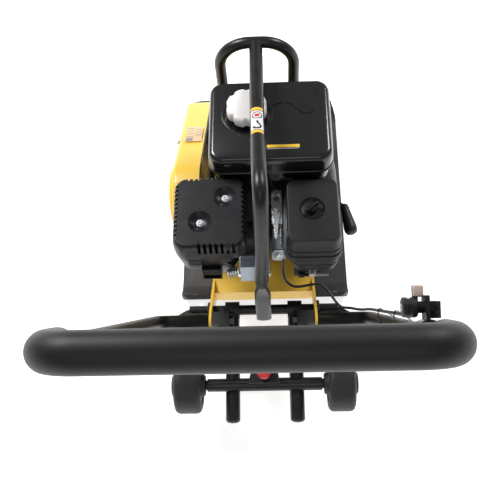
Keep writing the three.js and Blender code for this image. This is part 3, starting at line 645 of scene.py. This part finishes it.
# ---------------- fuel tank
def build_tank():
    x0, x1 = TANK["x"] - TANK["half_x"], TANK["x"] + TANK["half_x"]
    y0, y1 = TANK["y"] - TANK["half_y"], TANK["y"] + TANK["half_y"]
    top = TANK["top"]
    bowl = [(22, 346), (17, 348), (13, 353), (9, 362), (8, 376), (8, 396.6), (5, 397.2)]
    seam = [(2, 397.5), (0.8, 398), (0.2, 398.8), (0, 400), (0.2, 401.2), (0.8, 402), (1.8, 402.6)]
    lid = [(2.2, 404), (2.2, 416), (2.6, 425), (3.6, 431.5), (5.8, 436.4), (9, 439.2), (13, top)]
    shell = stacked("fuel tank shell", (x0, x1, y0, y1), 28, bowl + seam + lid, "gloss_black", 60, 12)
    place(shell, BODY, ["fuel_tank"])
    dish = [(24, 0), (47, 0), (46.4, 1.2), (45, 1.6), (43.6, 1.2), (42, 0.8), (24, 0.8)]
    ring = turned("filler dish", (CAP["x"], CAP["y"], top - 0.6), UP, dish, "gloss_black", 64)
    place(ring)
    wall = [(20.3, 0), (25, 0), (25, 7.5), (20.3, 7.5)]
    place(turned("filler neck", (CAP["x"], CAP["y"], top - 1), UP, wall, "black_plastic"))
    wave = [(2, -74), (19, -64.6), (33, -52.5), (51.5, -48.7), (65, -55), (80, -70), (94, -74),
            (106, -62.4), (110, -42), (110, -15)]
    path = smooth_path([(x, y, top) for x, y in wave], 8)
    place(sweep("tank top bead", path, (1.6, 0.8), "gloss_black", 12, up=UP))
    for index, x in enumerate((34, 56)):
        rib = block(f"tank top rib {index}", (x, -22, top - 0.8), (x + 14, -8, top + 0.8), "gloss_black", 0.8)
        place(rib)
    bosses = ((x0 + 24, y1 - 22), (x1 - 24, y1 - 22), (x0 + 24, y0 + 22), (x1 - 24, y0 + 22))
    for index, (x, y) in enumerate(bosses):
        place(rod(f"tank bolt boss {index}", (x, y, 342), (x, y, 348), 9, "black_steel"))
    build_tank_label()
    build_cap()


def label_field(name, origin, axes, box, depth, lift, finish):
    """A thin label on a flat face; box is (u0, u1, v0, v1) along the first two axes, the third faces out."""
    across, along, out = axes
    u0, u1, v0, v1 = box
    corners = [origin + across * u + along * v for u, v in ((u0, v0), (u1, v0), (u1, v1), (u0, v1))]
    label = loft(name, [[c - out * depth for c in corners], [c + out * lift for c in corners]], finish)
    recalculate(label)
    return label


def build_tank_label():
    """Care label on top of the tank near its rear edge: a yellow band over pale lines."""
    origin = Vector((17, -144, TANK["top"]))
    axes = (Vector((1, 0, 0)), Vector((0, -0.999, -0.035)), Vector((0, -0.035, 0.999)))  # leans 2 degrees
    band = label_field("tank label band", origin, axes, (0, 58, -3, 2.8), 0.5, 0.2, "label_yellow")
    place(band)
    for line in range(4):
        v = 4.4 + 2.4 * line
        box = (1, 51 if line == 3 else 57, v, v + 1.3)
        row = label_field(f"tank label line {line}", origin, axes, box, 0.5, 0.2, "label_pale")
        place(row)


def build_cap():
    """The fuel cap, with eight finger dips round it."""
    rings = []
    steps = 128
    for z, shrink in ((447.3, 0.6), (448.4, 0.0), (463, 0.4), (466, 1.6), (467.6, 4.0), (468, 6.5)):
        depth = 3.4 if z < 467 else 3.4 * 0.6
        ring = []
        for k in range(steps):
            angle = 2 * math.pi * k / steps
            radius = CAP["radius"] - shrink - depth * max(0.0, math.cos(8 * angle)) ** 1.6
            ring.append((CAP["x"] + radius * math.cos(angle), CAP["y"] + radius * math.sin(angle), z))
        rings.append(ring)
    cap = loft("fuel cap", rings, "white_plastic", smooth=40)
    place(cap, "fuel_cap", ["fuel_cap"])


# ---------------- muffler
def build_muffler():
    paint = "stove_black"
    dress("muffler_body", paint, 1.0)
    x0, x1, y0, y1 = MUFFLER
    profile = [(11, 290), (8, 302), (4.5, 326), (1.5, 346), (0.2, 356), (0, 364), (0.2, 374), (0.6, 381),
               (1.4, 386), (2.6, 390), (4.2, 393), (6.2, 394.7), (8.4, 395)]
    shield = stacked("muffler shield", MUFFLER, 24, profile, paint, 50, 10)
    hollow = [(8, 280), (4, 320), (1, 345), (0, 360), (0, 386), (2, 389)]
    inner = stacked("hollow", (x0 + 5, x1 - 5, y0 + 6, y1 - 5), 16, hollow, paint)
    cutters = [
        inner,
        block("head side", (-60, y0 - 5, 280), (x1 + 5, y1 + 5, 352), paint, 0),
        block("mouth side", (-112, y0 - 5, 280), (-64, y0 + 20, 310), paint, 0),
        *shield_slots(x0, x1, y0, y1, paint),
    ]
    pan = [(0, 0), (20, 0), (22, 6), (0, 6)]
    dish = [(0, 0), (7.4, 0), (11, 0.8), (16, 3.8), (19, 6.4), (22.5, 8.6), (0, 8.6)]
    for x, y in SHIELD_DISHES:
        carve(inner, [turned("dish bottom", (x, y, 384.4), UP, pan, paint, 48)])
        cutters.append(turned("dish", (x, y, 387.2), UP, dish, paint, 64))
    carve(shield, cutters, 22)
    keep_flats(shield)
    place(shield, BODY, ["muffler_shield"])
    washer = [(0, 0), (7, 0), (7, 1.1), (6.4, 1.7), (0, 1.7)]
    screw = [(0, 0), (4.4, 0), (4.4, 2.4), (3.9, 3), (2.3, 3), (2, 1.2), (0, 1.2)]
    for index, (x, y) in enumerate(SHIELD_DISHES):
        place(turned(f"shield washer {index}", (x, y, 387.2), UP, washer, "zinc", 40))
        place(turned(f"shield screw {index}", (x, y, 388.6), UP, screw, "zinc", 40))


def shield_slots(x0, x1, y0, y1, paint):
    """Cutters for the rows of slots: the left, right, front and rear shoulders, then the rear face."""
    rows = (  # count, first low corner, step, size
        (12, (x0 - 4, y0 + 25, 360), (0, 8.9, 0), (13, 5, 38)),
        (10, (x1 - 9, y0 + 28, 372), (0, 10, 0), (13, 5.6, 26)),
        (9, (x0 + 24, y1 - 9, 374), (9.4, 0, 0), (5, 13, 24)),
        (7, (x0 + 46, y0 - 4, 372), (10, 0, 0), (5, 13.5, 26)),
        (4, (x0 + 24, y0 - 4, 316), (0, 0, 9), (26, 18, 4)),
    )
    cutters = []
    for count, first, step, size in rows:
        for k in range(count):
            low = [a + k * b for a, b in zip(first, step)]
            cutters.append(block("slot", low, [a + b for a, b in zip(low, size)], paint, 0))
    return cutters


# ---------------- air filter
def build_filter():
    x, y = FILTER_KNOB
    foot = [(7, 315), (4, 316), (3, 318), (3, 327), (0.6, 328), (0, 329), (0, 341)]
    ledges = [(0.4, 341.8), (2, 342.2), (2.2, 343), (2.4, 356), (2.8, 356.8), (3.8, 357.2), (4.1, 358),
              (4.3, 372), (4.6, 372.8), (4.8, 374)]
    shoulder = [(5.8, 388), (6.6, 392), (8, 394.4), (10, 395)]
    cover = stacked("filter cover", FILTER, 22, foot + ledges + shoulder, "filter_plastic", 55, 10)
    recess = [(0, 0), (15, 0), (19, 1.4), (21.6, 4), (23, 6.4), (0, 6.4)]
    carve(cover, [turned("recess", (x, y, 389.4), UP, recess, "filter_plastic", 64)], 28)
    keep_flats(cover)
    place(cover, BODY, ["air_filter_cover"])
    hub = [(0, 0), (8.5, 0), (8.5, 5), (7.4, 8), (5.4, 10), (0, 10.6)]
    knob = turned("filter knob", (x, y, 389.7), UP, hub, "filter_plastic")
    wing = block("filter knob wing", (-14, -2.4, 0), (14, 2.4, 12), "filter_plastic", 1.8, 3)
    turn = Matrix.Rotation(math.radians(40), 4, "Z")
    wing.matrix_world = Matrix.Translation(Vector((x, y, 394)) * MM) @ turn
    knob = join_pieces([knob, wing], "filter_plastic")
    place(knob, "air_filter_knob", ["air_filter_knob"])
    bands = [(9, 269), (6, 270), (5, 272), (5, 280), (3, 281), (3, 290), (0.6, 292), (0, 294), (0, 301),
             (1.6, 302), (1.6, 304), (0, 305), (0, 313), (1, 314.7)]
    tray = stacked("filter tray", FILTER_TRAY, 18, bands, "black_plastic", 40)
    place(tray, BODY, ["air_filter_base"])
    dress("air_filter_element", "filter_foam", 0)
    dress("control_panel", "black_plastic", 2.0, 3)
    dress("choke_lever", "zinc", 0.6)
    dress("fuel_valve_lever", "black_plastic", 0.8)
    dress("engine_switch", "red_plastic", 0.8)


# ---------------- engine
def build_engine():
    for node, material, width, segments in (
        ("crankcase", "engine_black", 2.0, 3),
        ("cylinder_head", "engine_black", 0.5, 2),
        ("valve_cover", "cover_alloy", 2.4, 4),
        ("spark_plug_cap", "rubber", 1.2, 2),
        ("crankshaft", "zinc", 0.4, 2),
        ("clutch_pulley", "zinc", 0.5, 2),
        ("flywheel", "aluminium", 0.5, 2),
        ("fan_shroud", "black_plastic", 1.5, 3),
        ("recoil_reel", "aluminium", 0.3, 2),
        ("carburettor", "dark_alloy", 1.2, 2),
        ("oil_filler_cap", "black_plastic", 1.0, 2),
        ("belt_guard_back", "black_steel", 0.5, 2),
    ):
        dress(node, material, width, segments)
    build_head_shroud()
    build_recoil()
    build_governor()
    build_carburettor_details()


def build_head_shroud():
    """Sheet that guides cooling air from the fan over the cylinder, under the tank."""
    section = [(-78, -12), (-74, -2), (-68, 0), (14, 0), (18, -2), (20, -12),
               (18, -12), (16.4, -3.6), (13, -2), (-67, -2), (-72, -3.6), (-76, -12)]
    levels = [(-158, 339), (-176, 338), (-196, 333), (-216, 326), (-232, 320)]
    rings = [[(x, y, z + drop) for x, drop in section] for y, z in levels]
    sheet = loft("cylinder shroud", rings, "engine_black", smooth=40)
    recalculate(sheet)
    place(sheet)
    outline = [(-84, -150), (100, -150), (100, -12), (-84, -12)]
    place(prism("tank cradle", outline, 336, 345, "engine_black", "xy", 2))


def build_governor():
    dress("control_bracket", "zinc", 0.5)
    x, y = GOVERNOR
    arm = [*arc(x, y, 9, -20, 200, 14), (x - 5, -240), (x - 2.5, -272), (x + 1.5, -272), (x + 4.5, -240)]
    lever = prism("governor arm", arm, 330.3, 333, "zinc", "xy", 0.5)
    stud = [(0, 0), (3, 0), (3, 15), (6.4, 15), (6.4, 17.6), (5.6, 18.4), (2.6, 18.4), (2.4, 20.6), (0, 21)]
    pivot = turned("governor pivot", (x, y, 318), UP, stud, "zinc", 32)
    place(lever, "governor_lever", ["governor_lever"])
    place(pivot, "governor_lever")
    oblong = arc(31, -178, 10, 0, 180, 12) + arc(31, -196, 10, 180, 360, 12)
    place(prism("governor plate", oblong, 329.1, 330.2, "zinc", "xy", 0.3))
    collar = [(0, 0), (4.5, 0), (4.5, 3), (2.2, 3.4), (0, 3.4)]
    place(turned("governor spacer", (31, -190, 330), UP, collar, "dark_alloy", 24))
    for index, bolt_x in enumerate((25.5, 36.5)):
        hex_bolt(f"control bolt {index}", (bolt_x, -177, 330), UP, 6, 3.6, washer=1.25)
    coil = [(38 + 2 * math.cos(t * 0.7), -242 - 0.46 * t, 326 + 2 * math.sin(t * 0.7)) for t in range(1, 88)]
    place(sweep("governor spring", coil, 0.6, "zinc", 8, up=UP))


def build_carburettor_details():
    """Fixings, leads and hoses round the carburettor and the cylinder head."""
    outline = [(23, 276), (43, 276), (46, 284), (46, 306), (42, 313), (24, 313), (20, 306), (20, 284)]
    place(prism("carburettor flange", outline, -289.5, -286, "aluminium", "xz", 0.6))
    nut = [(0, 0), (6.5, 0), (6.5, 2), (3.4, 2.4), (3.4, 7), (0, 7.6)]
    place(turned("throttle pivot", (29, -289.5, 300), (0, -1, 0), nut, "zinc", 32))
    arm = [(25, 297), (32, 296), (38, 312), (35, 315), (31, 312)]
    place(prism("throttle crank", arm, -296.4, -294.6, "zinc", "xz", 0.3))
    screw = [(0, 0), (5, 0), (5, 4), (4.2, 4.8), (0, 4.8)]
    place(turned("bowl drain screw", (36, -263, 250), (0, 0, -1), screw, "zinc", 6))
    head = [(0, 0), (4.6, 0), (4.6, 4), (4, 4.8), (0, 4.8)]
    for index, x in enumerate((-38, 14)):
        at, axis = (x, -322, 290), (0, -0.93, 0.36)
        bolt = turned(f"valve cover bolt {index}", at, axis, head, "zinc", 6, smooth=20)
        place(bolt)
    for index in range(4):
        low, high = (-62 + index * 4.6, -309 + index, 240), (-59.6 + index * 4.6, -292, 262)
        place(block(f"exhaust flange fin {index}", low, high, "aluminium", 0.5))
    place(rod("plug hex", (-66, -300, 250), (-44, -296, 252), 7, "zinc", steps=6))
    lead = [(-57, -283, 264), (-64, -272, 270), (-68, -246, 276), (-66, -214, 262), (-60, -190, 250)]
    place(sweep("ignition lead", smooth_path(lead), 3.2, "rubber", 14))
    fuel = [(22, -150, 344), (26, -165, 330), (48, -180, 306), (50, -215, 290), (47, -238, 287)]
    place(sweep("fuel hose", smooth_path(fuel), 3.4, "rubber", 14))


def build_recoil():
    y, z = CRANK
    outside = [(92.7, 112.3), (93, 113), (93, 122), (91, 127), (86, 134), (78, 141), (68, 146), (56, 149.2),
               (50, 150), (30, 150), (0, 149.4)]
    inside = [(0, 147), (54, 147), (66, 143), (77, 137), (88, 124), (90, 120), (90, 112.3)]
    cover = turned("recoil cover", (0, y, z), (1, 0, 0), outside + inside, "black_plastic", 72)
    cutters = []
    slots = 14
    for turn in range(slots):
        slot = block("slot", (140, 26, -2.5), (156, 48, 2.5), "black_plastic", 0)
        spin = Matrix.Rotation(2 * math.pi * turn / slots, 4, "X")
        slot.matrix_world = Matrix.Translation(Vector((0, y, z)) * MM) @ spin
        cutters.append(slot)
    bpy.context.view_layer.update()
    carve(cover, cutters)
    place(cover, BODY, ["recoil_cover"])
    guide = rod("rope guide", (134, -171, 285), ROPE_MOUTH, 10, "black_plastic", end_radius=7)
    place(guide)
    bolt_circle = 89
    disc = [(0, 0), (7.5, 0), (7.5, 2), (0, 2)]
    for turn in range(3):
        angle = 2 * math.pi * turn / 3 + 0.4
        at = (118, y + bolt_circle * math.cos(angle), z + bolt_circle * math.sin(angle))
        tab = turned(f"recoil tab {turn}", at, (1, 0, 0), disc, "black_plastic", 24)
        place(tab)
        hex_bolt(f"recoil bolt {turn}", (120, *at[1:]), (1, 0, 0), 8, 4.6, washer=None)
    build_grip_and_rope()


def build_grip_and_rope():
    turn, dip = math.radians(STARTER_GRIP["turn"]), math.radians(STARTER_GRIP["dip"])
    at = Vector((STARTER_GRIP["x"], STARTER_GRIP["y"], STARTER_GRIP["z"]))
    axis = Vector((math.sin(turn) * math.cos(dip), -math.cos(turn) * math.cos(dip), -math.sin(dip)))
    profile = [(0, -31), (4.6, -31), (6.6, -29.6), (8, -26), (8.6, -18), (10, -4), (11.6, 8), (12.5, 17),
               (12.1, 23), (10.4, 28), (7, 30.4), (3, 31), (0, 31)]
    grip = turned("starter grip", at, axis, profile, "black_plastic")
    recalculate(grip)
    place(grip, "starter_grip", ["starter_grip"])
    start = Vector(ROPE_MOUTH)
    end = at - axis * 30
    middle = start.lerp(end, 0.5) + Vector((0, 0, 0.5))
    rope = sweep("starter rope", smooth_path([start, middle, end]), 2.2, "rope", 12)
    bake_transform(rope)


# ---------------- belt guard
def hull_outline(first, r1, second, r2, steps=40):
    """Outline round two circles in (y, z), starting on the second."""
    dy, dz = second[0] - first[0], second[1] - first[1]
    heading = math.degrees(math.atan2(dz, dy))
    lean = math.degrees(math.acos((r1 - r2) / math.hypot(dy, dz)))
    near = arc(*second, r2, heading - lean, heading + lean, steps)
    return near + arc(*first, r1, heading + lean, heading + 360 - lean, steps)


def build_guard_label():
    """Rating label on the guard's upper slope, with blank fields and bars."""
    slope = math.atan2(EXCITER[1] - CRANK[1], EXCITER[0] - CRANK[0])
    along = Vector((0, math.cos(slope), math.sin(slope)))
    out = Vector((0, -math.sin(slope), math.cos(slope)))
    origin = Vector((-145, -2, 174)) + out * 72.2
    axes = (Vector((1, 0, 0)), along, out)
    fields = [
        ("plate", (-13, 22, -36, 36), 0.25, "label_rose"),
        ("block", (-11, 3, -34, -20), 0.4, "label_grey"),
    ]
    for line in range(7):
        u, v = -11 + 18 * (line % 2), -14 + 6.5 * line
        fields.append((f"line {line}", (u, u + 13, v, v + 2.5), 0.4, "label_grey"))
    for name, box, lift, finish in fields:
        place(label_field("guard label " + name, origin, axes, box, 0.6, lift, finish))


def build_guard():
    """The guard: a cup round both pulleys, with a raised disc over the clutch."""
    outside = [(-118, 0), (-162, 0), (-166, 0.6), (-169.4, 2.4), (-171.4, 5), (-172, 9)]
    inside = [(-169.5, 12), (-167, 6), (-163, 2.5), (-118, 2.5)]
    drive, driven = 74, 70
    rings = []
    for x, inset in outside + inside:
        outline = hull_outline(CRANK, drive - inset, EXCITER, driven - inset)
        rings.append([(x, y, z) for y, z in outline])
    shell = loft_cup("belt guard shell", rings, len(outside), "yellow_paint")
    recalculate(shell)
    place(shell, BODY, ["belt_guard"])
    disc = [(0, 171), (62, 171), (61, 174), (58.5, 177.5), (54, 180), (47, 181), (0, 181)]
    place(turned("belt guard bulge", (0, *CRANK), (-1, 0, 0), disc, "yellow_paint", 72))
    for index, (y, z) in enumerate(((10, 238), (-60, 132))):
        hex_bolt(f"guard bolt {index}", (-172, y, z), (-1, 0, 0), 8, 4.6, washer=1.6)
    build_guard_label()


def loft_cup(name, rings, outer_count, material):
    """A cup: outer rings run to its closed face, the rest run back inside."""
    count = len(rings[0])
    vertices = [point for ring in rings for point in ring]
    faces = []
    spans = [(i, i + 1) for i in range(len(rings) - 1) if i != outer_count - 1] + [(len(rings) - 1, 0)]
    for a, b in spans:
        for j in range(count):
            k = (j + 1) % count
            faces.append((a * count + j, a * count + k, b * count + k, b * count + j))
    faces.append(tuple((outer_count - 1) * count + j for j in range(count)))
    faces.append(tuple(outer_count * count + j for j in reversed(range(count))))
    return add_mesh(name, vertices, faces, material, 40)


# ---------------- handle
def build_handle():
    half, corner, radius = HANDLE["half"], HANDLE["corner"], HANDLE["radius"]
    right_foot, right_top = (half, *PIVOT), (half, HANDLE["y"], HANDLE["z"])
    left_foot, left_top = (-half, *PIVOT), (-half, HANDLE["y"], HANDLE["z"])
    hinge = 107
    corners = [(-hinge, *PIVOT), left_foot, left_top, right_top, right_foot, (hinge, *PIVOT)]
    path = bent_path(corners, [26, corner, corner, 26], 14)
    frame = pipe("handle tube", path, radius, radius - 2, "tube_black", up=UP)
    recalculate(frame)
    place(frame, "handle", ["handle_frame"])
    down = (Vector(right_foot) - Vector(right_top)).normalized() * 76
    ends = [Vector(left_top) + down, left_top, right_top, Vector(right_top) + down]
    path = bent_path(ends, [corner, corner], 20)
    grip = pipe("foam grip", path, HANDLE["grip"], radius + 0.6, "foam", 48, rim=5)
    recalculate(grip)
    place(grip, "handle", ["handle_grip"])


def on_leg(*objects):
    """Sets pieces drawn round the right leg: x across, y forward of the leg, z up the leg."""
    y = PIVOT[0] - math.tan(LEG_LEAN) * (THROTTLE["z"] - PIVOT[1])
    place_at = Matrix.Translation(Vector((HANDLE["half"], y, THROTTLE["z"])) * MM)
    for obj in objects:
        obj.matrix_world = place_at @ Matrix.Rotation(LEG_LEAN, 4, "X")
    return objects


def build_throttle():
    reach = THROTTLE["reach"]
    steel, plastic = "black_steel", "black_plastic"
    band = [(12.8, 0), (18, 0), (19, 1), (19, 27), (18, 28), (12.8, 28)]
    pin = [(0, 0), (7, 0), (7, 9), (0, 9)]
    clamp = join_pieces(on_leg(
        turned("throttle clamp", (0, 0, -14), UP, band, steel, 48),
        block("web", (-4, 12, -14), (1, 47, 14), steel, 1.2),
        block("upper jaw", (0, 20, 6), (14, 40, 10), steel, 1.0),
        block("lower jaw", (0, 20, -12), (14, 40, -8), steel, 1.0),
        turned("lever pin", (-11.6, reach, 0), (1, 0, 0), pin, steel, 32),
    ), steel)
    place(clamp, "handle", ["throttle_bracket"])
    head = [(0, 0), (3.4, 0), (3.4, 3), (2.8, 3.6), (0, 3.6)]
    for index, y in enumerate((25, 35)):
        bolt = join_pieces(on_leg(turned(f"throttle bolt {index}", (10, y, 10), UP, head, steel, 6)), steel)
        place(bolt, "handle")
    spool = [(0, 0), (10.5, 0), (12, 1.4), (12, 6), (10.8, 7), (10.8, 10), (12, 11), (12, 16.6),
             (10.5, 18), (0, 18)]
    drum = join_pieces(on_leg(
        turned("throttle drum", (-30, reach, 0), (1, 0, 0), spool, plastic, 48),
        block("lever arm", (-17, reach + 2, -5), (-11, reach + 26, 5), plastic, 1.8, 3),
    ), plastic)
    place(drum, "throttle_lever", ["throttle_lever"])
    low, high = (-17, reach + 12, -5.4), (-4.4, reach + 26, 5.4)
    tip = join_pieces(on_leg(block("throttle lever tip", low, high, "yellow_zinc", 2.0, 3)), "yellow_zinc")
    place(tip, "throttle_lever")
    head = [(0, 0), (4, 0), (4.4, 0.4), (4.4, 2), (0, 2)]
    screw = on_leg(turned("throttle screw", (-31.4, reach, 0), (1, 0, 0), head, "zinc", 32))
    screw = join_pieces(screw, "zinc")
    place(screw, "throttle_lever")
    build_cable()


def build_cable():
    """The throttle cable: held on the engine, bent across the hinge and tied up the right leg."""
    lower = [(41, -288.5, 305), (41, -288, 275), (41, -285.5, 250), (41, -287, 232), (43, -295, 214),
             (48, -302, 203), (60, -310, 200), (75, -311, 200), (93, -308, 200), (107, -307, 200),
             (118, -312, 200), (127, -322, 200), (136, -336, 200), (142, -346, 200), (149, -354, 200),
             (154, -356.5, 200)]
    upper = [(163, -358, 200.6), (169, -362, 209), (177, -371, 226), (185, -381, 248), (191, -391, 275)]
    straight = [(CABLE_X, -404 - 21 * k, 307 + 50 * k) for k in range(7)]
    finish = [(CABLE_X, -548, 648), (CABLE_X, -553, 662)]
    cable = sweep("throttle cable", smooth_path(lower + upper + straight + finish), 2.5, "cable", 14)
    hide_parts("throttle_cable_lower", "throttle_cable_upper")
    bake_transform(cable)
    place(rod("cable ferrule", (41, -288.4, 288), (41, -288.6, 306), 3.6, "zinc"))
    for index, (_, y, z) in enumerate((straight[2], straight[5])):
        place(cable_tie(f"cable tie {index}", y, z, "black_plastic"), "handle")


def cable_tie(name, y, z, material):
    """A band round the right leg and the cable beside it, at the cable's place (y, z)."""
    leg_radius, cable_radius = 13, 3
    along = Vector((0, -math.sin(LEG_LEAN), math.cos(LEG_LEAN)))
    cable = Vector((CABLE_X, y, z))
    foot = Vector((HANDLE["half"], *PIVOT))
    leg = foot + along * (cable - foot).dot(along)
    apart = cable - leg
    first = apart.normalized()
    second = along.cross(first)
    lean = math.degrees(math.acos((leg_radius - cable_radius) / apart.length))

    def loop(grow, shift):
        points = []
        wraps = ((leg, leg_radius, lean, 360 - lean), (cable, cable_radius, -lean, lean))
        for middle, radius, start, end in wraps:
            for a, b in arc(0, 0, radius + grow, start, end, 18):
                points.append(middle + first * a + second * b + along * shift)
        return points

    rings = [loop(1.3, -2), loop(1.3, 2), loop(0, 2), loop(0, -2)]
    band = loft(name, rings, material, loop=True)
    recalculate(band)
    return band


# ---------------- wheels
def build_wheels():
    dress("wheel_frame", "black_steel", 0.8)
    half = [(10, 32), (18.5, 32), (20, 30.5), (22.5, 24), (30, 22.5), (36, 22.5), (38, 25.2), (44, 25.5),
            (49, 23.5), (52.2, 19.5), (53, 15)]
    profile = [(r, -x) for r, x in half] + half[::-1]
    dome = [(0, -4), (9.4, -4), (9.4, -0.6), (8.6, 0), (0, 0)]
    for side, sign in SIDES:
        wheel = turned_ring(f"wheel {side}", (sign * WHEEL_X, *AXLE), profile, "tyre")
        place(wheel, "wheel_" + side, ["wheel_" + side])
        at = (sign * (WHEEL_X + 30), *AXLE)
        cap = turned(f"hub cap {side}", at, (sign, 0, 0), dome, "black_plastic", 32)
        place(cap, "wheel_frame")
    plug = [(0, -2), (13.6, -2), (14, 0), (12.8, 3), (9.6, 5.4), (5, 6.6), (0, 7)]
    for side, sign in SIDES:
        start, end = Vector((sign * 62, -344, 149)), Vector((sign * 62, -548, 112))
        cap = turned("prong plug " + side, end, end - start, plug, "black_plastic", 40)
        place(cap, "wheel_frame")
    profile = [(0, 172), (10, 172), (12.8, 174), (13.5, 176.5), (13.5, 181), (12.8, 183.4), (10.5, 185.2),
               (8, 186), (0, 186)]
    knob = turned("lock knob", (0, LOCK_Y, 0), UP, profile, "red_plastic", 48)
    pin = rod("lock knob pin", (0, LOCK_Y, 147), (0, LOCK_Y, 173), 4, "zinc")
    place(knob, "lock_knob", ["lock_knob"])
    place(pin, "lock_knob")


def turned_ring(name, origin, profile, material, steps=72):
    """A ring section of (radius, x) points turned right round X, with a hole in the middle."""
    axis = Vector((1, 0, 0))
    first, second = frame_on(axis)
    rings = []
    for outwards in circle(Vector((0, 0, 0)), first, second, 1, 1, steps):
        rings.append([Vector(origin) + outwards * r + axis * x for r, x in profile])
    ring = loft(name, rings, material, loop=True)
    recalculate(ring)
    return ring


# ---------------- camera, light and floor
def build_stage():
    half, level = 8, -0.001  # metres
    floor = bpy.data.meshes.new("floor")
    corners = [(-half, -half, level), (half, -half, level), (half, half, level), (-half, half, level)]
    floor.from_pydata(corners, [], [(0, 1, 2, 3)])
    ground = bpy.data.objects.new("floor", floor)
    bpy.context.scene.collection.objects.link(ground)
    material, _, principled = shader("white floor", (0.9, 0.9, 0.9), 0.6, specular=0.1)
    principled.inputs["Emission Color"].default_value = (1, 1, 1, 1)
    principled.inputs["Emission Strength"].default_value = 0.7
    floor.materials.append(material)
    world = bpy.data.worlds.new("studio")
    bpy.context.scene.world = world
    world.use_nodes = True
    background = world.node_tree.nodes["Background"]
    background.inputs["Color"].default_value = (1, 1, 1, 1)
    background.inputs["Strength"].default_value = 0.3
    bpy.context.scene.view_settings.view_transform = "Standard"
    add_area("key", (-1.4, 0.9, 2.3), (0, -0.1, 0.3), 0.8, 62)
    add_area("fill", (1.5, 1.1, 2.1), (0, -0.1, 0.3), 0.7, 30)
    add_area("over", (0.0, -2.0, 2.2), (0, -0.3, 0.4), 0.8, 5)


def add_area(name, at, towards, size, power):
    """A square lamp; places and size in metres, power in watts."""
    light = bpy.data.lights.new(name, "AREA")
    light.shape = "SQUARE"
    light.size = size
    light.energy = power
    lamp = bpy.data.objects.new(name, light)
    lamp.location = at
    lamp.rotation_euler = (Vector(towards) - Vector(at)).to_track_quat("-Z", "Y").to_euler()
    bpy.context.scene.collection.objects.link(lamp)


def set_camera():
    """Looks down over the handle: heading is from +Y towards -X, pitch is below level."""
    pitch, heading, roll = (math.radians(CAMERA[k]) for k in ("pitch", "heading", "roll"))
    level = Vector((-math.sin(heading), math.cos(heading), 0))
    right = Vector((math.cos(heading), math.sin(heading), 0))
    forward = level * math.cos(pitch) - Vector((0, 0, math.sin(pitch)))
    down = -(level * math.sin(pitch) + Vector((0, 0, math.cos(pitch))))
    rolled_right = right * math.cos(roll) + down * math.sin(roll)
    rolled_down = -right * math.sin(roll) + down * math.cos(roll)
    camera = bpy.data.cameras.new("camera")
    camera.lens = CAMERA["lens"]
    camera.sensor_width = 36
    camera.clip_start = 0.01
    obj = bpy.data.objects.new("camera", camera)
    axes = Matrix((rolled_right, -rolled_down, -forward)).transposed()
    obj.matrix_world = Matrix.Translation(Vector(CAMERA["place"])) @ axes.to_4x4()
    bpy.context.scene.collection.objects.link(obj)
    bpy.context.scene.camera = obj


def main():
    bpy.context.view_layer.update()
    MATERIALS.update(make_materials())
    for build in (
        build_plate, build_mounts, build_deck, build_arch, build_lift_bar, build_tank, build_muffler,
        build_filter, build_engine, build_guard, build_handle, build_throttle, build_wheels, build_stage,
        set_camera,
    ):
        build()


main()
